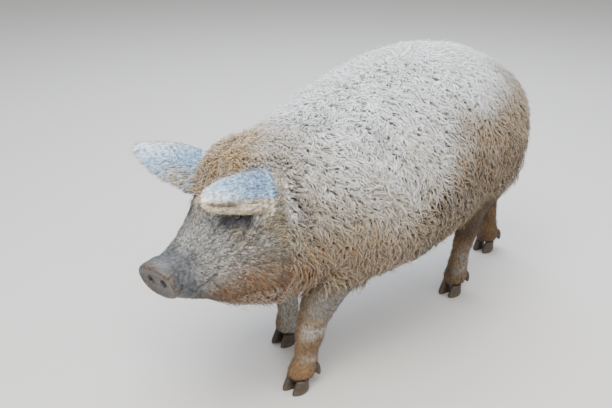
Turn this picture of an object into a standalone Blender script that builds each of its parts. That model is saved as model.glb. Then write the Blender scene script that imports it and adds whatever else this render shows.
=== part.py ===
"""A blond Mangalica pig, life size, standing in mid-step: the solids of a museum model.

Metres, +Z up. The pig faces -Y and its left side is +X. The floor is z = 0.
"""

import math

import bmesh
import bpy
import numpy as np
from mathutils import Matrix, Vector
from mathutils.bvhtree import BVHTree

# The middle of the whole outline, in the frame that the tables below use.
FRAME_CENTRE = (0.000, -0.134)

GAP = 0.0003
SOCKET_GAP = 0.0005

# Fleece: the tables give the outline out to the curls' tips, and the core lies this far inside it.
CLUMP_RISE = 0.028
CLUMP_SPACING = 0.081
CLUMP_HALF_WIDTH = 0.051
CLUMP_HALF_LENGTH = 0.060
CLUMP_ROOT = 0.026
CLUMP_SIDES = 6
# Height and width of a clump's levels below its crown: shares of its root or rise, and of its half width.
CLUMP_LEVELS = ((-1.0, 1.0), (0.26, 0.95), (0.78, 0.60))
# How far the crown slides along the clump's lie, as a share of its half length.
CLUMP_SLIDE = 0.24
# The curls hang down and a little back: the lie's shares along Y and Z.
CLUMP_LIE = (0.45, -1.0)
CLUMP_SIZES = (0.90, 1.12)
CLUMP_RISES = (0.80, 1.12)
CLUMP_TWIST = 0.35
FLEECE_SEED = 11
# The height over which the root of a leg draws in under the fleece.
MASS_BLEND = 0.07
LEG_MARGIN = 0.018
POLL_FORWARD = 0.085
POLL_LOW_Z = 0.615

# Trunk: y, top, bottom, half width, height of the widest level, narrowing towards the top.
TRUNK = (
    (-0.520, 0.600, 0.400, 0.110, 0.490, 0.08),
    (-0.490, 0.655, 0.320, 0.170, 0.485, 0.08),
    (-0.440, 0.697, 0.262, 0.212, 0.480, 0.08),
    (-0.350, 0.727, 0.232, 0.250, 0.485, 0.08),
    (-0.200, 0.770, 0.226, 0.279, 0.495, 0.08),
    (-0.050, 0.803, 0.246, 0.288, 0.505, 0.06),
    (0.080, 0.816, 0.282, 0.277, 0.515, 0.04),
    (0.200, 0.803, 0.330, 0.252, 0.525, 0.02),
    (0.300, 0.772, 0.366, 0.226, 0.535, 0.00),
    (0.380, 0.732, 0.388, 0.196, 0.545, 0.00),
    (0.440, 0.690, 0.420, 0.156, 0.550, 0.00),
    (0.490, 0.645, 0.456, 0.104, 0.552, 0.00),
    (0.520, 0.600, 0.500, 0.050, 0.550, 0.00),
)
# Neck, the same columns.
NECK = (
    (-0.300, 0.725, 0.300, 0.200, 0.490, 0.08),
    (-0.420, 0.704, 0.262, 0.205, 0.460, 0.12),
    (-0.500, 0.697, 0.262, 0.188, 0.440, 0.16),
    (-0.570, 0.693, 0.276, 0.168, 0.432, 0.22),
    (-0.620, 0.678, 0.296, 0.148, 0.430, 0.28),
    (-0.650, 0.655, 0.318, 0.128, 0.435, 0.28),
    (-0.670, 0.600, 0.360, 0.090, 0.440, 0.28),
)
# Head: distance forward, and the same columns.
HEAD = (
    (0.000, 0.678, 0.284, 0.160, 0.428, 0.28),
    (0.040, 0.668, 0.289, 0.153, 0.425, 0.30),
    (0.080, 0.641, 0.299, 0.142, 0.425, 0.34),
    (0.125, 0.596, 0.313, 0.123, 0.428, 0.38),
    (0.170, 0.554, 0.331, 0.101, 0.433, 0.36),
    (0.215, 0.521, 0.350, 0.080, 0.438, 0.28),
    (0.260, 0.498, 0.368, 0.063, 0.440, 0.18),
    (0.300, 0.487, 0.379, 0.055, 0.437, 0.08),
    (0.330, 0.484, 0.384, 0.052, 0.435, 0.00),
)
HEAD_ROOT = Vector((-0.008, -0.550, 0.0))
HEAD_TURN = math.radians(10.0)

# The planes that part the neck from the torso and the head from the neck.
NECK_BACK_Y = -0.455
HEAD_BACK = 0.030

# Snout disc: its levels are the depth behind its face and the share of its half sizes.
SNOUT_LENGTH = 0.034
SNOUT_LEVELS = ((SNOUT_LENGTH, 0.95), (0.018, 0.97), (0.008, 1.0), (0.002, 0.97), (0.0, 0.88))
SNOUT_PITCH = math.radians(24.0)
SNOUT_HALF_WIDTH = 0.053
SNOUT_HALF_HEIGHT = 0.050
SNOUT_FACE = Vector((0.050, -0.882, 0.436))

# Legs: z, x outward, y, half width, half length front to back.
FORELEG_LEFT = (
    (0.640, 0.130, -0.275, 0.050, 0.080),
    (0.560, 0.158, -0.290, 0.080, 0.120),
    (0.460, 0.160, -0.320, 0.088, 0.125),
    (0.380, 0.148, -0.352, 0.078, 0.103),
    (0.320, 0.135, -0.382, 0.066, 0.082),
    (0.270, 0.125, -0.415, 0.055, 0.063),
    (0.220, 0.115, -0.440, 0.045, 0.049),
    (0.185, 0.110, -0.452, 0.039, 0.042),
    (0.160, 0.108, -0.457, 0.038, 0.041),
    (0.135, 0.106, -0.461, 0.034, 0.037),
    (0.110, 0.104, -0.465, 0.030, 0.032),
    (0.085, 0.102, -0.469, 0.031, 0.033),
    (0.064, 0.100, -0.474, 0.037, 0.038),
    (0.048, 0.099, -0.481, 0.037, 0.037),
    (0.0363, 0.0985, -0.486, 0.038, 0.036),
)
FORELEG_RIGHT = (
    (0.640, 0.130, -0.265, 0.050, 0.080),
    (0.560, 0.158, -0.275, 0.080, 0.120),
    (0.460, 0.160, -0.295, 0.088, 0.125),
    (0.380, 0.148, -0.310, 0.078, 0.103),
    (0.320, 0.135, -0.318, 0.066, 0.080),
    (0.270, 0.125, -0.326, 0.054, 0.061),
    (0.220, 0.115, -0.334, 0.045, 0.049),
    (0.185, 0.110, -0.338, 0.039, 0.042),
    (0.160, 0.108, -0.338, 0.038, 0.041),
    (0.135, 0.106, -0.336, 0.034, 0.037),
    (0.110, 0.104, -0.334, 0.030, 0.032),
    (0.085, 0.102, -0.333, 0.031, 0.033),
    (0.064, 0.100, -0.334, 0.037, 0.038),
    (0.048, 0.099, -0.338, 0.037, 0.037),
    (0.0363, 0.098, -0.342, 0.038, 0.036),
)
HINDLEG_LEFT = (
    (0.680, 0.105, 0.330, 0.050, 0.070),
    (0.600, 0.120, 0.332, 0.078, 0.100),
    (0.500, 0.122, 0.328, 0.086, 0.116),
    (0.420, 0.117, 0.312, 0.083, 0.118),
    (0.360, 0.105, 0.290, 0.070, 0.098),
    (0.310, 0.091, 0.276, 0.055, 0.072),
    (0.265, 0.078, 0.276, 0.043, 0.054),
    (0.230, 0.071, 0.283, 0.038, 0.047),
    (0.200, 0.067, 0.277, 0.034, 0.041),
    (0.160, 0.064, 0.264, 0.031, 0.034),
    (0.115, 0.061, 0.253, 0.030, 0.032),
    (0.085, 0.060, 0.248, 0.032, 0.033),
    (0.064, 0.059, 0.246, 0.037, 0.037),
    (0.048, 0.058, 0.240, 0.036, 0.037),
    (0.0363, 0.057, 0.236, 0.037, 0.036),
)
HINDLEG_RIGHT = (
    (0.680, 0.105, 0.345, 0.050, 0.070),
    (0.600, 0.120, 0.370, 0.078, 0.105),
    (0.500, 0.122, 0.398, 0.086, 0.122),
    (0.420, 0.117, 0.432, 0.082, 0.116),
    (0.360, 0.105, 0.470, 0.069, 0.092),
    (0.310, 0.091, 0.508, 0.055, 0.070),
    (0.265, 0.078, 0.546, 0.043, 0.054),
    (0.230, 0.071, 0.570, 0.038, 0.047),
    (0.200, 0.067, 0.578, 0.034, 0.041),
    (0.160, 0.064, 0.582, 0.031, 0.034),
    (0.115, 0.061, 0.585, 0.030, 0.032),
    (0.085, 0.060, 0.587, 0.032, 0.033),
    (0.064, 0.059, 0.588, 0.037, 0.037),
    (0.048, 0.058, 0.583, 0.036, 0.037),
    (0.0363, 0.057, 0.579, 0.037, 0.036),
)
FORELEG_TOP_Z = 0.300
FORELEG_KNEE_Z = 0.158
HINDLEG_TOP_Z = 0.350
HINDLEG_HOCK_Z = 0.212
# Side, table and top level of each leg.
LEG_ROOTS = (
    (1, FORELEG_LEFT, FORELEG_TOP_Z),
    (-1, FORELEG_RIGHT, FORELEG_TOP_Z),
    (1, HINDLEG_LEFT, HINDLEG_TOP_Z),
    (-1, HINDLEG_RIGHT, HINDLEG_TOP_Z),
)

# Main claws: height, half length and half width at each level, and the forward lean.
CLAW_LEVELS = (
    (0.000, 0.0265, 0.0135, 0.0060),
    (0.006, 0.0275, 0.0155, 0.0050),
    (0.020, 0.0240, 0.0150, 0.0015),
    (0.036, 0.0190, 0.0135, -0.0030),
)
CLAW_SPREAD = 0.0185
CLAW_FORWARD = 0.010
DEWCLAW_LENGTH = 0.036
DEWCLAW_RADIUS = 0.0105
DEWCLAW_Z = 0.056
DEWCLAW_BACK = 0.034
DEWCLAW_SPREAD = 0.019

# Ears: root, direction, the face that looks up, length, half width.
EAR_LEFT = (
    Vector((0.112, -0.567, 0.580)), Vector((-0.036, -0.983, 0.183)), Vector((0.946, 0.026, 0.325)), 0.241, 0.060
)
EAR_RIGHT = (
    Vector((-0.092, -0.612, 0.596)), Vector((-0.56, -0.74, 0.38)), Vector((0.60, -0.28, 0.75)), 0.200, 0.066
)
EAR_THICKNESS = 0.007
# Half the angle of the ear's arc at its tip, and what the root adds, in degrees.
EAR_BEND_TIP = 14
EAR_BEND_ROOT = 12
EAR_DROOP = 0.008
EAR_SUNK = 0.02

EYE_RADIUS = 0.0135
EYE_FORWARD = 0.128
EYE_Z = 0.541
EYE_SUNK = 0.009
# Half sizes of the lids along the face, up it and out of it, and of the opening between them.
LID_SIZE = (0.025, 0.019, 0.0185)
LID_OPENING = (0.0135, 0.0065)

# Mouth: distance forward and height, from the corner to the disc.
MOUTH = ((0.224, 0.434), (0.236, 0.4275), (0.250, 0.420), (0.265, 0.4115), (0.280, 0.403), (0.300, 0.392))
MOUTH_RADIUS = 0.0030
LIP_RADIUS = 0.0060
LIP_OFFSET = 0.0070
LIP_SUNK = 0.78

NOSTRIL_SIZE = (0.0080, 0.0115)
NOSTRIL_SPREAD = 0.0185
NOSTRIL_RISE = 0.004
# Levels of a nostril: distance out of the disc and share of its half sizes.
NOSTRIL_LEVELS = ((-0.016, 0.45), (-0.004, 0.9), (0.004, 1.1))

# Tail: x, y, z and radius.
TAIL = (
    (0.000, 0.470, 0.610, 0.021),
    (0.000, 0.512, 0.612, 0.020),
    (0.003, 0.540, 0.594, 0.017),
    (0.007, 0.553, 0.556, 0.014),
    (0.011, 0.556, 0.506, 0.012),
    (0.014, 0.556, 0.456, 0.014),
    (0.016, 0.556, 0.411, 0.017),
    (0.017, 0.556, 0.366, 0.012),
    (0.017, 0.556, 0.331, 0.004),
)

TRUNK_SIDES = 28
TRUNK_RINGS = 18
CORE_SIDES = 14
CORE_RINGS = 10
CORE_DROP = 0.010
HEAD_SIDES = 18
LEG_SIDES = 12
FLAT_ANGLE = math.radians(1.0)
FLEECE_TRIES = 16000


def clear_scene() -> None:
    """Remove every object of the open scene."""
    for obj in list(bpy.data.objects):
        bpy.data.objects.remove(obj)


def finish_of(name: str, colour: tuple, roughness: float) -> bpy.types.Material:
    """A plain Principled material."""
    material = bpy.data.materials.new(name)
    material.use_nodes = True
    shader = material.node_tree.nodes["Principled BSDF"]
    shader.inputs["Base Color"].default_value = (*colour, 1.0)
    shader.inputs["Roughness"].default_value = roughness
    return material


def interpolated(table: tuple, places: np.ndarray) -> np.ndarray:
    """Rows of a table at other values of its first column, by cubic curves through its rows."""
    data = np.asarray(table, float)
    if data[0, 0] > data[-1, 0]:
        data = data[::-1]
    x, y = data[:, 0], data[:, 1:]
    slope = np.gradient(y, x, axis=0)
    index = np.clip(np.searchsorted(x, places) - 1, 0, len(x) - 2)
    step = (x[index + 1] - x[index])[:, None]
    t = ((places - x[index])[:, None]) / step
    a, b = y[index], y[index + 1]
    m, n = slope[index] * step, slope[index + 1] * step
    row = (2 * t**3 - 3 * t**2 + 1) * a + (t**3 - 2 * t**2 + t) * m
    row += (3 * t**2 - 2 * t**3) * b + (t**3 - t**2) * n
    return np.column_stack([places, row])


def mesh_object(name: str, points, faces, flat: bool = False) -> bpy.types.Object:
    """A mesh object from points and faces, with its normals facing out. Flat faces are left whole."""
    mesh = bpy.data.meshes.new(name)
    mesh.from_pydata([tuple(map(float, p)) for p in points], [], faces)
    bm = bmesh.new()
    bm.from_mesh(mesh)
    bmesh.ops.recalc_face_normals(bm, faces=bm.faces)
    if not flat:
        bmesh.ops.triangulate(bm, faces=bm.faces)
    bm.to_mesh(mesh)
    bm.free()
    obj = bpy.data.objects.new(name, mesh)
    bpy.context.scene.collection.objects.link(obj)
    return obj


def loft(name: str, rings: np.ndarray, crown: Vector | None = None) -> bpy.types.Object:
    """A closed body through rings of equal numbers of points.

    It has flat caps. Where it has a crown point over its last ring, its rings are alike, so its sides are flat.
    """
    count, sides, _ = rings.shape
    faces = []
    for i in range(count - 1):
        for j in range(sides):
            k = (j + 1) % sides
            quad = (i * sides + j, i * sides + k, (i + 1) * sides + k, (i + 1) * sides + j)
            faces += [quad] if crown else [quad[:3], (quad[0], quad[2], quad[3])]
    faces.append(tuple(range(sides)))
    points, last = rings.reshape(-1, 3), (count - 1) * sides
    if crown is None:
        faces.append(tuple(range(last, last + sides)))
    else:
        points = np.vstack([points, tuple(crown)])
        faces += [(last + j, last + (j + 1) % sides, last + sides) for j in range(sides)]
    return mesh_object(name, points, faces, crown is not None)


def rounded(angle: np.ndarray, power: float) -> tuple:
    """Cosine and sine of a superellipse: a power of 2 is an ellipse, more is squarer."""
    c, s = np.cos(angle), np.sin(angle)
    return np.sign(c) * np.abs(c) ** (2 / power), np.sign(s) * np.abs(s) ** (2 / power)


def body_rings(rows: np.ndarray, sides: int, inset: float) -> np.ndarray:
    """Upright sections from rows of a body's table.

    Returns the lateral offset, the height and the place of each point.
    """
    angle = np.linspace(0, 2 * math.pi, sides, endpoint=False)
    c, s = rounded(angle, 2.15)
    top, bottom, half, widest, taper = (rows[:, k][:, None] for k in (1, 2, 3, 4, 5))
    over = np.maximum(top - inset - widest, 0.004)
    under = np.maximum(widest - bottom - inset, 0.004)
    height = widest + np.where(s > 0, over * s, under * s)
    side = np.maximum(half - inset, 0.004) * c * (1 - taper * s)
    place = np.repeat(rows[:, :1], sides, axis=1)
    return np.stack([side, height, place], axis=-1)


def trunk_like(name: str, table: tuple, inset: float, sides: int, count: int) -> bpy.types.Object:
    """A body whose sections stand across the Y axis."""
    places = np.linspace(table[0][0], table[-1][0], count)
    rings = body_rings(interpolated(table, places), sides, inset)
    return loft(name, rings[..., (0, 2, 1)])


def head_frame() -> Matrix:
    """Turns (left, height, forward) of the head table into the pig's frame."""
    left = Vector((math.cos(HEAD_TURN), math.sin(HEAD_TURN), 0.0))
    forward = Vector((math.sin(HEAD_TURN), -math.cos(HEAD_TURN), 0.0))
    frame = Matrix((left, Vector((0, 0, 1)), forward)).transposed().to_4x4()
    frame.translation = HEAD_ROOT
    return frame


def head_loft(name: str, start: float, stop: float, count: int) -> bpy.types.Object:
    """The head's own body between two distances forward."""
    rows = interpolated(HEAD, np.linspace(start, stop, count))
    rings = body_rings(rows, HEAD_SIDES, 0.0)
    frame = np.array(head_frame())
    return loft(name, rings @ frame[:3, :3].T + frame[:3, 3])


def head_side(forward: float, height: float) -> float:
    """Half width of the head at a distance forward and a height."""
    _, top, bottom, half, widest, taper = interpolated(HEAD, np.array([forward]))[0]
    reach = (top - widest) if height > widest else (widest - bottom)
    s = min(abs(height - widest) / reach, 0.999)
    c = (1 - s**2.15) ** (1 / 2.15)
    return half * c * (1 - taper * math.copysign(s, height - widest))


def leg_loft(
    name: str, table: tuple, side: int, low: float, high: float, grow: float, inset: float = 0.0
) -> bpy.types.Object:
    """A stretch of a leg between two heights, grown outward by a margin.

    An inset draws it in under the fleece, little by little above its lower end.
    """
    levels = {low, high, *(row[0] for row in table if low < row[0] < high)}
    if grow:
        levels |= {low - grow, high + grow}
    places = np.array(sorted(levels))
    rows = interpolated(table, places)
    angle = np.linspace(0, 2 * math.pi, LEG_SIDES, endpoint=False)
    c, s = rounded(angle, 2.1)
    margin = grow - inset * np.clip((places - low) / MASS_BLEND, 0, 1)[:, None]
    x = side * (rows[:, 1:2] + (rows[:, 3:4] + margin) * c)
    y = rows[:, 2:3] + (rows[:, 4:5] + margin) * s
    z = np.repeat(places[:, None], LEG_SIDES, axis=1)
    return loft(name, np.stack([x, y, z], axis=-1))


def applied(obj: bpy.types.Object) -> bpy.types.Object:
    """The object with its modifiers made part of its mesh."""
    graph = bpy.context.evaluated_depsgraph_get()
    mesh = bpy.data.meshes.new_from_object(obj.evaluated_get(graph))
    obj.modifiers.clear()
    obj.data = mesh
    return obj


def fused(obj: bpy.types.Object, pieces: list) -> bpy.types.Object:
    """The union of an object with closed pieces, which are then removed."""
    group = bpy.data.collections.new("pieces")
    bpy.context.scene.collection.children.link(group)
    for piece in pieces:
        bpy.context.scene.collection.objects.unlink(piece)
        group.objects.link(piece)
    union = obj.modifiers.new("union", "BOOLEAN")
    union.operation = "UNION"
    union.operand_type = "COLLECTION"
    union.collection = group
    union.solver = "EXACT"
    applied(obj)
    for piece in pieces:
        bpy.data.objects.remove(piece)
    bpy.data.collections.remove(group)
    bm = bmesh.new()
    bm.from_mesh(obj.data)
    bmesh.ops.dissolve_limit(bm, angle_limit=FLAT_ANGLE, verts=bm.verts, edges=bm.edges)
    bmesh.ops.triangulate(bm, faces=bm.faces)
    bm.to_mesh(obj.data)
    bm.free()
    return obj


def cut(obj: bpy.types.Object, cutter: bpy.types.Object) -> bpy.types.Object:
    """The object less a cutter."""
    boolean = obj.modifiers.new("cut", "BOOLEAN")
    boolean.operation = "DIFFERENCE"
    boolean.object = cutter
    boolean.solver = "EXACT"
    applied(obj)
    return obj


def cut_away(obj: bpy.types.Object, cutter: bpy.types.Object) -> bpy.types.Object:
    """Cut an object and remove the cutter."""
    cut(obj, cutter)
    removed(cutter)
    return obj


def kept_largest(obj: bpy.types.Object) -> bpy.types.Object:
    """The object with only its largest closed surface."""
    bm = bmesh.new()
    bm.from_mesh(obj.data)
    bmesh.ops.triangulate(bm, faces=bm.faces)
    bmesh.ops.remove_doubles(bm, verts=bm.verts, dist=2e-6)
    seen, shells = set(), []
    for face in bm.faces:
        if face in seen:
            continue
        shell, front = [], [face]
        seen.add(face)
        while front:
            here = front.pop()
            shell.append(here)
            for edge in here.edges:
                for other in edge.link_faces:
                    if other not in seen:
                        seen.add(other)
                        front.append(other)
        shells.append(shell)
    shells.sort(key=len, reverse=True)
    lost = [face for shell in shells[1:] for face in shell]
    bmesh.ops.delete(bm, geom=lost, context="FACES")
    bm.to_mesh(obj.data)
    bm.free()
    return obj


def duplicate(obj: bpy.types.Object, name: str) -> bpy.types.Object:
    """A copy of an object with a mesh of its own."""
    twin = obj.copy()
    twin.data = obj.data.copy()
    twin.name = name
    bpy.context.scene.collection.objects.link(twin)
    return twin


def grown_copy(obj: bpy.types.Object) -> bpy.types.Object:
    """A copy that stands out by the socket's gap all round."""
    twin = duplicate(obj, "grown")
    grow = twin.modifiers.new("grow", "DISPLACE")
    grow.strength = SOCKET_GAP
    grow.mid_level = 0.0
    return applied(twin)


def half_space(name: str, point: Vector, normal: Vector) -> bpy.types.Object:
    """A large block whose one face lies on a plane, with the block on the side of the normal."""
    size = 1.5
    corners = [(x, y, z) for x in (-size, size) for y in (-size, size) for z in (0.0, 2 * size)]
    faces = [(0, 1, 3, 2), (4, 6, 7, 5), (0, 4, 5, 1), (2, 3, 7, 6), (0, 2, 6, 4), (1, 5, 7, 3)]
    turn = normal.to_track_quat("Z", "Y").to_matrix()
    return mesh_object(name, [turn @ Vector(corner) + point for corner in corners], faces)


def removed(*objects) -> None:
    """Remove helper objects."""
    for obj in objects:
        bpy.data.objects.remove(obj)


def tube(name: str, points: np.ndarray, radii: np.ndarray, sides: int) -> bpy.types.Object:
    """A round tube along a path."""
    ahead = np.gradient(points, axis=0)
    ahead /= np.linalg.norm(ahead, axis=1)[:, None]
    across = np.cross(ahead, (1.0, 0.0, 0.0))
    across /= np.linalg.norm(across, axis=1)[:, None]
    beside = np.cross(ahead, across)
    angle = np.linspace(0, 2 * math.pi, sides, endpoint=False)[None, :, None]
    spread = across[:, None] * np.cos(angle) + beside[:, None] * np.sin(angle)
    return loft(name, points[:, None] + spread * radii[:, None, None])


def leg_nodes(limb: str, side_name: str, side: int, table: tuple, top: float, joint: float) -> tuple:
    """Upper and lower leg, claws, and the cutter that makes the torso's socket."""
    name = f"{limb}_{side_name}"
    foot = table[-1]
    upper = leg_loft(f"{name}_upper", table, side, joint + GAP / 2, top, 0.0)
    lower = leg_loft(f"{name}_lower", table, side, foot[0], joint - GAP / 2, 0.0)
    socket = leg_loft("socket", table, side, foot[0] + SOCKET_GAP, top, SOCKET_GAP)
    claws = []
    for position, sign in (("outer", 1), ("inner", -1)):
        x = side * (foot[1] + sign * CLAW_SPREAD)
        centre = Vector((x, foot[2] - CLAW_FORWARD, 0.0))
        claws.append(claw(f"claw_{name}_{position}", centre))
        x = side * (foot[1] + sign * DEWCLAW_SPREAD)
        root = Vector((x, table[-3][2] + DEWCLAW_BACK, DEWCLAW_Z))
        claws.append(dewclaw(f"dewclaw_{name}_{position}", root))
    for piece in claws[1::2]:
        cut_away(lower, grown_copy(piece))
    kept_largest(lower)
    return [upper, lower], claws, socket


def claw(name: str, centre: Vector) -> bpy.types.Object:
    """A main claw: an oval sole that narrows to the toe and a wall that leans forward."""
    sides = 8
    angle = np.linspace(0, 2 * math.pi, sides, endpoint=False)
    rings = []
    for z, half_length, half_width, lean in CLAW_LEVELS:
        point = np.cos(angle)
        x = centre.x + half_width * np.sin(angle) * (1 - 0.25 * np.maximum(point, 0))
        y = centre.y - lean - half_length * point
        rings.append(np.column_stack([x, y, np.full(sides, z)]))
    return loft(name, np.array(rings))


def dewclaw(name: str, root: Vector) -> bpy.types.Object:
    """A small claw that hangs behind the pastern."""
    steps = np.linspace(0, 1, 5)
    path = np.column_stack(
        [
            np.full(5, root.x),
            root.y - 0.006 + 0.014 * steps,
            root.z + 0.008 - DEWCLAW_LENGTH * steps,
        ]
    )
    radii = DEWCLAW_RADIUS * np.array([0.75, 1.0, 0.95, 0.75, 0.4])
    return tube(name, path, radii, 6)


def ear(
    name: str, root: Vector, direction: Vector, face: Vector, length: float, half_width: float
) -> bpy.types.Object:
    """A cupped leaf: each section is an arc with an outer and an inner side."""
    ahead = direction.normalized()
    up = (face - ahead * face.dot(ahead)).normalized()
    across = ahead.cross(up)
    steps, arc = 9, 7
    rings = []
    for i in range(steps):
        t = i / (steps - 1)
        half = half_width * ear_width(t)
        bend = math.radians(EAR_BEND_TIP + EAR_BEND_ROOT * (1 - t) ** 1.5)
        radius = half / math.sin(bend)
        droop = -EAR_DROOP * t**2
        thick = EAR_THICKNESS * (1.15 - 0.55 * t)
        centre = root + ahead * (length * t - EAR_SUNK) + up * droop
        ring = []
        for outward, reach in ((1, radius), (-1, radius - thick)):
            for j in range(arc):
                turn = bend * (2 * j / (arc - 1) - 1) * outward
                rise = reach * math.cos(turn) - radius
                ring.append(centre + across * (reach * math.sin(turn)) + up * rise)
        rings.append(ring)
    return loft(name, np.array(rings))


def ear_width(t: float) -> float:
    """Share of the greatest half width at a share of the ear's length."""
    return 0.10 + 0.90 * math.sin(math.pi * min(0.40 + 0.60 * t, 1.0)) ** 0.62


def snout_object() -> bpy.types.Object:
    """The rooting disc with a raised rim."""
    face = snout_axis()
    left = head_frame().to_3x3() @ Vector((1, 0, 0))
    up = face.cross(left)
    angle = np.linspace(0, 2 * math.pi, HEAD_SIDES, endpoint=False)
    c, s = rounded(angle, 2.3)
    rings = []
    for depth, scale in SNOUT_LEVELS:
        ring = [
            SNOUT_FACE - face * depth
            + left * (SNOUT_HALF_WIDTH * scale * a) + up * (SNOUT_HALF_HEIGHT * scale * b)
            for a, b in zip(c, s)
        ]
        rings.append(ring)
    return loft("snout", np.array(rings))


def body_form(inset: float, sides: int, rings: int) -> bpy.types.Object:
    """Trunk, neck, head and the roots of the legs as one closed body, its fleeced parts set in by the inset."""
    body = trunk_like("torso", TRUNK, inset, sides, rings)
    pieces = [trunk_like("neck_body", NECK, inset, sides, rings // 2 + 1)]
    pieces.append(head_loft("head_body", HEAD_BACK - 0.003, HEAD[-1][0], 13))
    for side, table, top in LEG_ROOTS:
        pieces.append(leg_loft("mass", table, side, top - 0.004, table[0][0], 0.0, inset))
    return fused(body, pieces)


def fleece_sites(form: bpy.types.Object) -> list:
    """Evenly spread places on a form and the way it faces there."""
    rng = np.random.default_rng(FLEECE_SEED)
    mesh = form.data
    mesh.calc_loop_triangles()
    points = np.array([tuple(v.co) for v in mesh.vertices])
    corners = points[np.array([tuple(t.vertices) for t in mesh.loop_triangles])]
    sides = np.cross(corners[:, 1] - corners[:, 0], corners[:, 2] - corners[:, 0])
    areas = 0.5 * np.linalg.norm(sides, axis=1)
    pick = rng.choice(len(areas), size=FLEECE_TRIES, p=areas / areas.sum())
    a, b = rng.random(len(pick)), rng.random(len(pick))
    over = a + b > 1
    a[over], b[over] = 1 - a[over], 1 - b[over]
    spots = corners[pick, 0] * (1 - a - b)[:, None]
    spots += corners[pick, 1] * a[:, None] + corners[pick, 2] * b[:, None]
    kept = np.empty((0, 3))
    for spot in spots:
        if not len(kept) or np.min(np.sum((kept - spot) ** 2, axis=1)) > CLUMP_SPACING**2:
            kept = np.vstack([kept, spot])
    tree = BVHTree.FromObject(form, bpy.context.evaluated_depsgraph_get())
    sites = []
    for spot in kept:
        near = tree.find_nearest_range(Vector(spot), 0.03)
        normal = sum((hit[1] for hit in near), Vector()).normalized()
        sites.append((Vector(spot), normal))
    return sites


def grows_fleece(spot: Vector) -> bool:
    """The fleece covers trunk, neck and poll, but not the face, nor the legs where they leave the body."""
    forward = (head_frame().inverted() @ spot).z
    if forward > HEAD_BACK and (forward > POLL_FORWARD or spot.z < POLL_LOW_Z):
        return False
    for side, table, top in LEG_ROOTS:
        _, x, y, half_width, half_length = interpolated(table, np.array([max(spot.z, top)]))[0]
        across = (spot.x - side * x) / (half_width + LEG_MARGIN)
        along = (spot.y - y) / (half_length + LEG_MARGIN)
        if spot.z < top + LEG_MARGIN and math.hypot(across, along) < 1:
            return False
    return True


def clump(spot: Vector, normal: Vector, size: float, twist: float, rise: float) -> bpy.types.Object:
    """A rounded clump of curls: it hangs down and back, and its crown lies towards its lower end."""
    lie = Vector((normal.x, *CLUMP_LIE))
    lie = (lie - normal * lie.dot(normal)).normalized()
    lie.rotate(Matrix.Rotation(twist, 3, normal))
    beside = normal.cross(lie)
    rings = []
    for share, width in CLUMP_LEVELS:
        height = share * (rise if share > 0 else CLUMP_ROOT)
        slide = CLUMP_SLIDE * CLUMP_HALF_LENGTH * max(share, 0.0)
        ring = []
        for j in range(CLUMP_SIDES):
            turn = 2 * math.pi * (j + 0.5) / CLUMP_SIDES
            along = CLUMP_HALF_LENGTH * size * width * math.cos(turn) + slide
            across = CLUMP_HALF_WIDTH * size * width * math.sin(turn)
            ring.append(spot + lie * along + beside * across + normal * height)
        rings.append(ring)
    crown = spot + lie * (CLUMP_SLIDE * CLUMP_HALF_LENGTH) + normal * rise
    return loft("clump", np.array(rings), crown)


def fleeced_body() -> bpy.types.Object:
    """The body's core with every clump fused to it."""
    guide = body_form(CLUMP_RISE, TRUNK_SIDES, TRUNK_RINGS)
    sites = fleece_sites(guide)
    removed(guide)
    core = body_form(CLUMP_RISE + CORE_DROP, CORE_SIDES, CORE_RINGS)
    rng = np.random.default_rng(FLEECE_SEED + 1)
    clumps = []
    for spot, normal in sites:
        size, twist, lift = rng.uniform(*CLUMP_SIZES), rng.normal(0.0, CLUMP_TWIST), rng.uniform(*CLUMP_RISES)
        if grows_fleece(spot):
            clumps.append(clump(spot, normal, size, twist, CLUMP_RISE * lift))
    return fused(core, clumps)


def snout_axis() -> Vector:
    """The way the disc looks."""
    return head_frame().to_3x3() @ Vector((0, -math.sin(SNOUT_PITCH), math.cos(SNOUT_PITCH)))


def eye_frame(side: int) -> Matrix:
    """The eye's place: forward along the face, up it and out of it."""
    reach = head_side(EYE_FORWARD, EYE_Z)
    place = head_frame() @ Vector((side * (reach - EYE_SUNK), EYE_Z, EYE_FORWARD))
    turn = head_frame().to_3x3()
    outward = (turn @ Vector((side * 0.90, 0.20, 0.38))).normalized()
    along = turn @ Vector((-side * 0.38, -0.42, 0.90))
    along = (along - outward * along.dot(outward)).normalized()
    frame = Matrix((along, outward.cross(along), outward)).transposed().to_4x4()
    frame.translation = place
    return frame


def ball(name: str, frame: Matrix, size: tuple) -> bpy.types.Object:
    """A closed ball, stretched along the axes of its frame."""
    mesh = bpy.data.meshes.new(name)
    bm = bmesh.new()
    bmesh.ops.create_icosphere(bm, subdivisions=2, radius=1.0, matrix=frame @ Matrix.Diagonal((*size, 1.0)))
    bm.to_mesh(mesh)
    bm.free()
    obj = bpy.data.objects.new(name, mesh)
    bpy.context.scene.collection.objects.link(obj)
    return obj


def lid_opening(frame: Matrix) -> bpy.types.Object:
    """A wedge with the outline of an almond, from the eyeball's middle outward."""
    sides = 10
    angle = np.linspace(0, 2 * math.pi, sides, endpoint=False)
    along = LID_OPENING[0] * np.cos(angle)
    up = LID_OPENING[1] * np.sign(np.sin(angle)) * np.abs(np.sin(angle)) ** 1.3
    rings = [
        [frame @ Vector((a, b, depth)) for a, b in zip(along, up)]
        for depth in (0.0, 2 * LID_SIZE[2])
    ]
    return loft("lid_opening", np.array(rings))


def mouth_line(side: int, places: tuple, lift: float, radius: float, sunk: float) -> bpy.types.Object:
    """A thin tube along the side of the mouth, lifted over or under its line."""
    path = []
    for forward, height in places:
        reach = head_side(forward, height + lift) - sunk
        path.append(head_frame() @ Vector((side * reach, height + lift, forward)))
    radii = np.full(len(places), radius)
    radii[0] *= 0.45
    return tube("mouth_line", np.array(path), radii, 6)


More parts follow.
